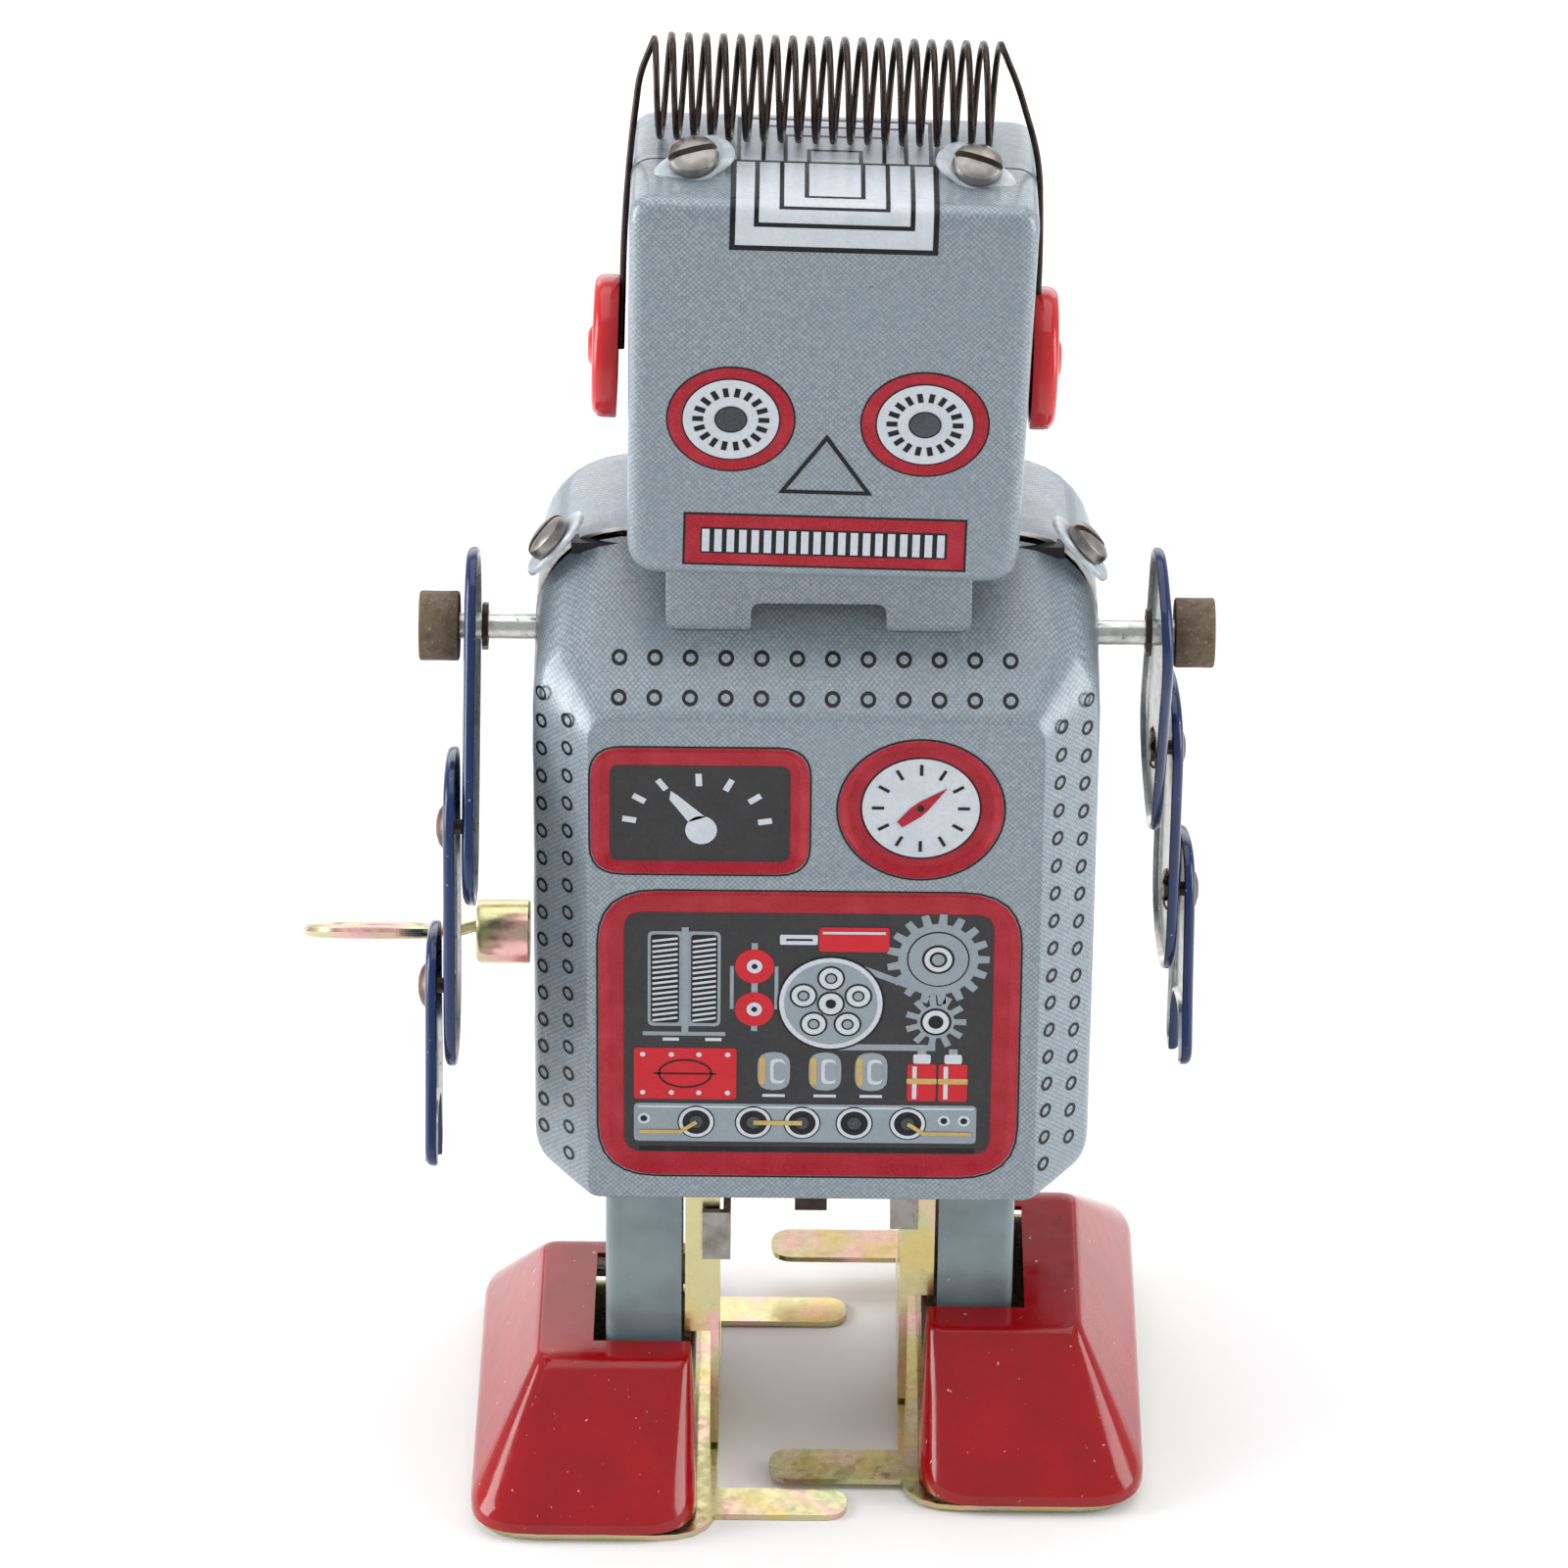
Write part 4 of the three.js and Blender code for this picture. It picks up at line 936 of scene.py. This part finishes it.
# ---- ears and screws ----
EAR_PROFILE = [
    (0.0, 2.38), (1.2, 2.36), (1.55, 2.1), (1.9, 1.9), (3.7, 1.72), (4.3, 1.86), (4.8, 1.98), (5.25, 1.85),
    (5.52, 1.5), (5.6, 1.1), (5.6, 0.12), (5.5, 0.0), (5.1, 0.05), (4.9, 0.5), (0.0, 0.5)]
SCREW_PROFILE = [(0.0, 0.2), (1.9, 0.2), (1.98, 0.35), (1.97, 0.75), (1.85, 1.05), (1.5, 1.27), (0.9, 1.38),
                 (0.0, 1.42)]
for name, side in SIDES:
    ear = Form()
    ear.lathe(EAR_PROFILE, (side * (HEAD_HALF + EAR_GAP[name]), EAR_Y, EAR_Z), (side, 0, 0), 56)
    make(ear, f"ear_disc_{name}", "body", [EAR_RED_WITH_HIGHLIGHT], HEAD, [f"ear_{name}"], sharp=50)


def block_cutter(x0, x1, y0, y1, z0, z1, place):
    form = Form()
    outline = ((x0, y0), (x1, y0), (x1, y1), (x0, y1))
    form.closed_loft([list(map(plan_view(z), outline)) for z in (z0, z1)])
    return to_object(form, "cutter", place)


def screw(name, place, half_length, twist):
    """A slotted pan-head screw on an oval lug."""
    turn = place @ Matrix.Rotation(twist, 4, "Z")
    head = Form()
    head.lathe(SCREW_PROFILE, (0, 0, 0), (0, 0, 1), 40)
    make(head, f"{name}_head", "body", [STEEL], turn, [name],
         cutters=[block_cutter(-3, 3, -0.32, 0.32, 0.72, 3, turn)])
    lug = (-half_length, -1.85, half_length, 1.85)
    plate = Form()
    plate.closed_loft([list(map(plan_view(z), shrunk(lug, shrink, 1.8 - shrink * 0.5))) for shrink, z in
                       ((0.0, -0.38), (0.0, -0.1), (0.12, 0.02), (0.35, 0.06), (0.75, 0.02))])
    make(plate, f"{name}_lug", "body", [PALE_TIN], place, sharp=50)


for name, side in SIDES:
    seat = HEAD @ Matrix.Translation((side * 10.8, HEAD_SEAM - 2.3, HEAD_TOP + 0.75))
    for angle, axis in ((side * 7, "Y"), (24, "X"), (-side * 36, "Z")):
        seat = seat @ Matrix.Rotation(math.radians(angle), 4, axis)
    screw(f"head_screw_{name}", seat, 3.3, math.radians(side * 24))
    seat = ROBOT @ Matrix.Translation((side * 20.9, -0.2, BODY_TOP - 1.3))
    screw(f"shoulder_screw_{name}", seat @ Matrix.Rotation(side * 0.85, 4, "Y"), 3.25, 0.35)


# ---- the antenna spring and its two tails ----
def coil_point(turn):
    """A point of the coil: turn runs from 0 to SPRING_TURNS, and its whole numbers are at the top."""
    angle = 2 * math.pi * turn
    x = SPRING_LEFT + (SPRING_RIGHT - SPRING_LEFT) * turn / SPRING_TURNS
    return Vector((x, SPRING_Y - SPRING_RADIUS * math.sin(angle),
                   HEAD_TOP + WIRE + SPRING_RADIUS * (1 + math.cos(angle))))


def tail(side, end, x_top):
    """From the top of the end coil down the head's side to under the ear."""
    controls = [end, Vector((x_top, 0.9, HEAD_TOP + 5.6)), Vector((side * 15.75, -1.2, HEAD_TOP + 0.4)),
                Vector((side * 16.1, -1.7, 106.5)), Vector((side * 16.12, -2.0, EAR_Z))]
    return [Vector(point) for point in smooth_path(controls, [1.2, 2.4, 3.0], 6)]


coils = [coil_point(i / 24) for i in range(1, SPRING_TURNS * 24)]
left_tail = tail(-1, coil_point(0), -15.2)
right_tail = tail(1, coil_point(SPRING_TURNS), 13.9)
antenna = Form()
antenna.tube(left_tail[::-1] + coils + right_tail, WIRE / 2, 8)
make(antenna, "antenna_coil", "body", [WIRE_METAL], HEAD, ["antenna_spring"], sharp=80)

# ---- shoulder axle and bushes ----
AXLE_PROFILE = [(0.0, -AXLE_HALF), (0.85, -AXLE_HALF), (1.05, 0.2 - AXLE_HALF), (1.05, 0.0),
                (1.05, AXLE_HALF - 0.2), (0.85, AXLE_HALF), (0.0, AXLE_HALF)]
BUSH_PROFILE = [(0.0, 0.0), (2.6, 0.0), (2.74, 0.06), (2.8, 0.2), (2.78, 1.6), (2.8, 3.0), (2.74, 3.14),
                (2.6, 3.2), (1.25, 3.2), (1.15, 3.1), (1.1, 2.6), (0.0, 2.6)]
axle = Form()
axle.lathe(AXLE_PROFILE, (0, 0, AXLE_Z), (1, 0, 0), 32)
make(axle, "axle_rod", "body", [AXLE_STEEL], ROBOT, ["shoulder_axle"])
for name, side in SIDES:
    bush = Form()
    bush.lathe(BUSH_PROFILE, (side * BUSH_X, 0, AXLE_Z), (side, 0, 0), 48)
    make(bush, f"bush_{name}", "body", [BUSH], ROBOT, [f"arm_bush_{name}"])

# ---- arms ----
# The section of a tray's rolled rim, from the outer face round to the inner one: inset and height.
TRAY = ((1.15, 0.97), (0.55, 0.93), (0.2, 0.80), (0.04, 0.58), (0.0, 0.35), (0.02, 0.09), (0.14, 0.0),
        (0.3, 0.05), (0.38, 0.22), (0.45, 0.42), (0.7, 0.57), (1.15, 0.62))
RIM = 6
RIVET_PROFILE = [(0.0, 2.42), (0.7, 2.37), (1.35, 2.17), (1.75, 1.87), (1.9, 1.67), (1.7, 1.67), (0.6, 1.67),
                 (0.6, -0.2), (0.0, -0.2)]
PETAL = ((0.3, 0.35, -0.25), (0.9, 0.55, -0.5), (1.4, 0.5, -0.42), (1.75, 0.22, -0.2))


def tray(loop, holes):
    """A pressed tray with a rolled rim, open towards the body: painted outside (0), bare inside (1)."""
    form = Form()
    rings = [list(map(side_view(x), inset(loop, shrink))) for shrink, x in TRAY]
    form.loft(rings[:RIM + 1], 0)
    form.loft(rings[RIM:], 1)
    outer, inner = ([list(map(side_view(x), hole)) for hole in holes] for _, x in (TRAY[0], TRAY[-1]))
    form.cap(rings[0], outer, 0)
    form.cap(rings[-1], inner, 1)
    for top, low in zip(outer, inner):
        form.loft([top, low], 1)
    return form


def link_loop(radius, length):
    return box_loop(-radius, -length - radius, radius, radius, radius * 0.95, steps=12)


def claw_loop():
    """A hand: round above the wrist, with two fingers of different length below a deep notch."""
    r, tip = HAND_RADIUS, -HAND_LENGTH
    return rounded([
        (-r, r, 4.5), (-r - 0.6, -7, 2), (-r - 1.4, tip + 2.6, 1.6), (-r + 1.6, tip + 1.4, 0.8),
        (-3.2, -9.5, 2.4), (3.0, -9.5, 2.4), (r - 1.2, tip - 0.4, 0.8), (r + 1.4, tip + 0.4, 1.6),
        (r + 0.6, -7, 2), (r, r, 4.5)], 8)


def rivet(name, place, side, node, body):
    """A low dome outside, a shank, and five splayed petals inside."""
    form = Form()
    form.lathe(RIVET_PROFILE, (0, 0, 0), (1, 0, 0), 32)
    for k in range(5):
        angle = 2 * math.pi * (k + 0.2) / 5
        ray = Vector((0, math.cos(angle), math.sin(angle)))
        across = Vector((0, -math.sin(angle), math.cos(angle)))
        sections = []
        for reach, width, rise in PETAL:
            corners = ((-width, 0.09), (width, 0.09), (width, -0.09), (-width, -0.09))
            sections.append([ray * reach + across * a + Vector((rise + b, 0, 0)) for a, b in corners])
        form.closed_loft(sections)
    make(form.mirrored(side), name, body, [BRONZE], place, [node], sharp=40)


ARM = (("upper_arm", "shoulder", "elbow", link_loop(UPPER_RADIUS, UPPER_LENGTH),
        ((-UPPER_LENGTH, RIVET_HOLE), (0, AXLE_HOLE))),
       ("forearm", "elbow", "wrist", link_loop(FOREARM_RADIUS, FOREARM_LENGTH),
        ((0, RIVET_HOLE), (-FOREARM_LENGTH, RIVET_HOLE))),
       ("hand", "wrist", None, claw_loop(), ((0, RIVET_HOLE),)))
for name, side in SIDES:
    twist = Matrix.Rotation(math.radians(ARM_TWIST[name]), 4, "Z")
    for stem, near, far, loop, holes in ARM:
        place = link_place(name, near, far, math.radians(HAND_TURN[name])) @ twist
        form = tray(loop, [ellipse(0, z, r, None, 24) for z, r in holes])
        make(form.mirrored(side), f"{stem}_tray_{name}", f"{stem}_{name}", [BLUE, BARE], place,
             [f"{stem}_{name}"], sharp=40)
    for body, near, joint, reach in (("upper_arm", "shoulder", "elbow", UPPER_LENGTH),
                                     ("forearm", "elbow", "wrist", FOREARM_LENGTH)):
        place = link_place(name, near, joint) @ Matrix.Translation((side * RIVET_SEAT, 0, -reach))
        rivet(f"{joint}_rivet_{name}_splayed", place, side, f"{joint}_rivet_{name}", f"{body}_{name}")

# ---- winding key ----
BARREL = ((-23.0, 1.5), (-23.0, 2.45), (-23.15, 2.6), (-27.0, 2.6), (-27.3, 2.45), (-27.35, 2.2), (-26.9, 2.0),
          (-26.0, 1.5))
KEY_NECK = ((-31.0, 2.2, 0.0), (-29.8, 1.9, 0.0), (-28.6, 1.6, 0.15), (-27.4, 1.5, 0.5), (-26.0, 1.5, 0.9))
WING, WING_CORNER = (-41.4, -6.4, -29.6, 6.4), 5.0
WING_HOLE, HOLE_CORNER = (-39.0, -4.0, -31.8, 4.0), 3.2
WING_EDGE = [(0.0, 0.0), (0.1, 0.3), (0.35, 0.5), (0.7, 0.55)]


def wing_rings(edge):
    return [list(map(plan_view(z), shrunk(WING, inwards, WING_CORNER, 10))) for inwards, z in edge]


def hole_rings(edge):
    return [list(map(plan_view(z), shrunk(WING_HOLE, -outwards, HOLE_CORNER, 10))) for outwards, z in edge]


key = Form()
key.closed_loft([[Vector((x, p.x, p.y)) for p in ellipse(0, 0, r, None, 40)] for x, r in BARREL])
lower_edge = [(distance, -z) for distance, z in WING_EDGE[1:]]
inner_rings = hole_rings(WING_EDGE[::-1] + lower_edge)
key.loft(wing_rings(WING_EDGE) + inner_rings + wing_rings(lower_edge[::-1]), around=True)
key.closed_loft([[Vector((x, p.x, p.y + drop)) for p in box_loop(-half, -0.5, half, 0.5, 0.3)]
                 for x, half, drop in KEY_NECK])
make(key, "key_stamped", "winding", [ZINC], KEY, ["winding_key"])


# ---- feet ----
SHIN = (10.5, -8.8, 16.7, 3.2)


def foot_ring(z, spread, corner):
    """spread is 0 at the top facet and 1 at the rim."""
    x0, x1 = 9.7 - 0.6 * spread, 22.2 + 5.3 * spread
    y0, y1 = -12.6 - 10.4 * spread, 6.3 + 11.7 * spread
    return list(map(plan_view(z), box_loop(x0, y0, x1, y1, corner, steps=8)))


for name, side in SIDES:
    foot = Form()
    path = smooth_path([(11.2, -0.10, 1.0), (11.2, 0.0, 1.4), (2.0, 1.0, 5.0), (0.85, 1.0, 5.0)], [0.9, 0.9], 6)
    rings = [foot_ring(*control) for control in path]
    foot.loft(rings)
    foot.cap(rings[0])
    place = LEGS[name]
    cutter = block_cutter(*sorted((side * 7.0, side * 17.7)), -9.8, 4.2, 5.85, 14, place)
    make(foot.mirrored(side), f"shoe_{name}", f"leg_{name}", [RED, BARE], place,
         [f"foot_shell_{name}"], LEG_TIN, cutters=[cutter], solver="FAST", sharp=40)
    cover = Form()
    x0, y0, x1, y1 = SHIN
    bends = rounded([(x0, y0, 0), (x1, y0, 1.0), (x1, y1, 1.0), (x0, y1, 0)], 5)[6:18]
    sides = [Vector((x0, y0)), *bends, Vector((x0, y1))]
    cover.loft([list(map(plan_view(z), sides)) for z in (2.0, 20.0, 38.4)], closed=False)
    make(cover.mirrored(side), f"shin_{name}", f"leg_{name}", [GRAY, BARE], place,
         [f"leg_cover_{name}"], LEG_TIN)

# ---- CAD pieces that stay, with their own metals ----
KEPT = {
    "great_wheel": BRASS, "second_wheel": BRASS,
    "crankshaft": AXLE_STEEL, "mainspring": STEEL, "stop_lever": WIRE_METAL,
}
for name, _ in SIDES:
    KEPT[f"arm_washer_{name}"] = WIRE_METAL
    KEPT[f"motor_plate_{name}"] = ZINC
    KEPT[f"leg_frame_{name}"] = ZINC
    KEPT[f"leg_clip_{name}"] = STEEL
    KEPT[f"sole_plate_{name}"] = ZINC
for i in (1, 2, 3):
    KEPT[f"motor_pillar_{i}"] = AXLE_STEEL
for name, finish in KEPT.items():
    mesh = frame["nodes"][name].data
    mesh.materials.clear()
    mesh.materials.append(finish)

# ---- floor, light and camera ----
floor_form = Form()
floor_form.patch([(-900, -900, 0), (900, -900, 0), (900, 900, 0), (-900, 900, 0)], [(0, 1, 2, 3)])
floor_mesh = to_object(floor_form, "floor", ROBOT @ Matrix.Translation((0, 0, -0.05)), oriented=False)
floor_finish = Surface("floor", (0.92, 0.92, 0.92), 0.8, specular=0.1)
floor_mesh.data.materials.append(floor_finish.done(0.02, 20))


def area_light(name, position, target, size, power, color=(1, 1, 1)):
    light = bpy.data.lights.new(name, "AREA")
    light.shape, light.size, light.size_y = "RECTANGLE", size[0] * MM, size[1] * MM
    light.energy, light.color = power, color
    lamp = bpy.data.objects.new(name, light)
    bpy.context.scene.collection.objects.link(lamp)
    lamp.location = ROBOT @ Vector(position)
    lamp.rotation_euler = (Vector(target) - Vector(position)).to_track_quat("-Z", "Y").to_euler()


area_light("top_light", (0, 60, 420), (0, 0, 60), (420, 420), 0.78)
area_light("back_light", (0, 420, 200), (0, 0, 60), (500, 260), 0.5)
area_light("left_light", (-420, -30, 170), (0, 0, 60), (220, 340), 1.7)
area_light("right_light", (430, -60, 180), (0, 0, 60), (220, 340), 1.2)
world = bpy.data.worlds.new("studio")
world.use_nodes = True
world.node_tree.nodes["Background"].inputs["Color"].default_value = (1, 1, 1, 1)
world.node_tree.nodes["Background"].inputs["Strength"].default_value = 0.57
bpy.context.scene.world = world
bpy.context.scene.view_settings.view_transform = "Standard"

PITCH, ROLL = math.radians(27.5), math.radians(0.55)
look = Vector((0, math.cos(PITCH), -math.sin(PITCH)))
level, upward = Vector((1, 0, 0)), Vector((0, math.sin(PITCH), math.cos(PITCH)))
right = math.cos(ROLL) * level + math.sin(ROLL) * upward
up = -math.sin(ROLL) * level + math.cos(ROLL) * upward
camera = bpy.data.objects.new("camera", bpy.data.cameras.new("camera"))
camera.data.lens, camera.data.sensor_width = 181.35, 36.0
bpy.context.scene.collection.objects.link(camera)
rotation = Matrix((right, up, -look)).transposed().to_4x4()
camera.matrix_world = Matrix.Translation(ROBOT @ Vector((-2.5, -562.94, 350.73))) @ rotation
bpy.context.scene.camera = camera
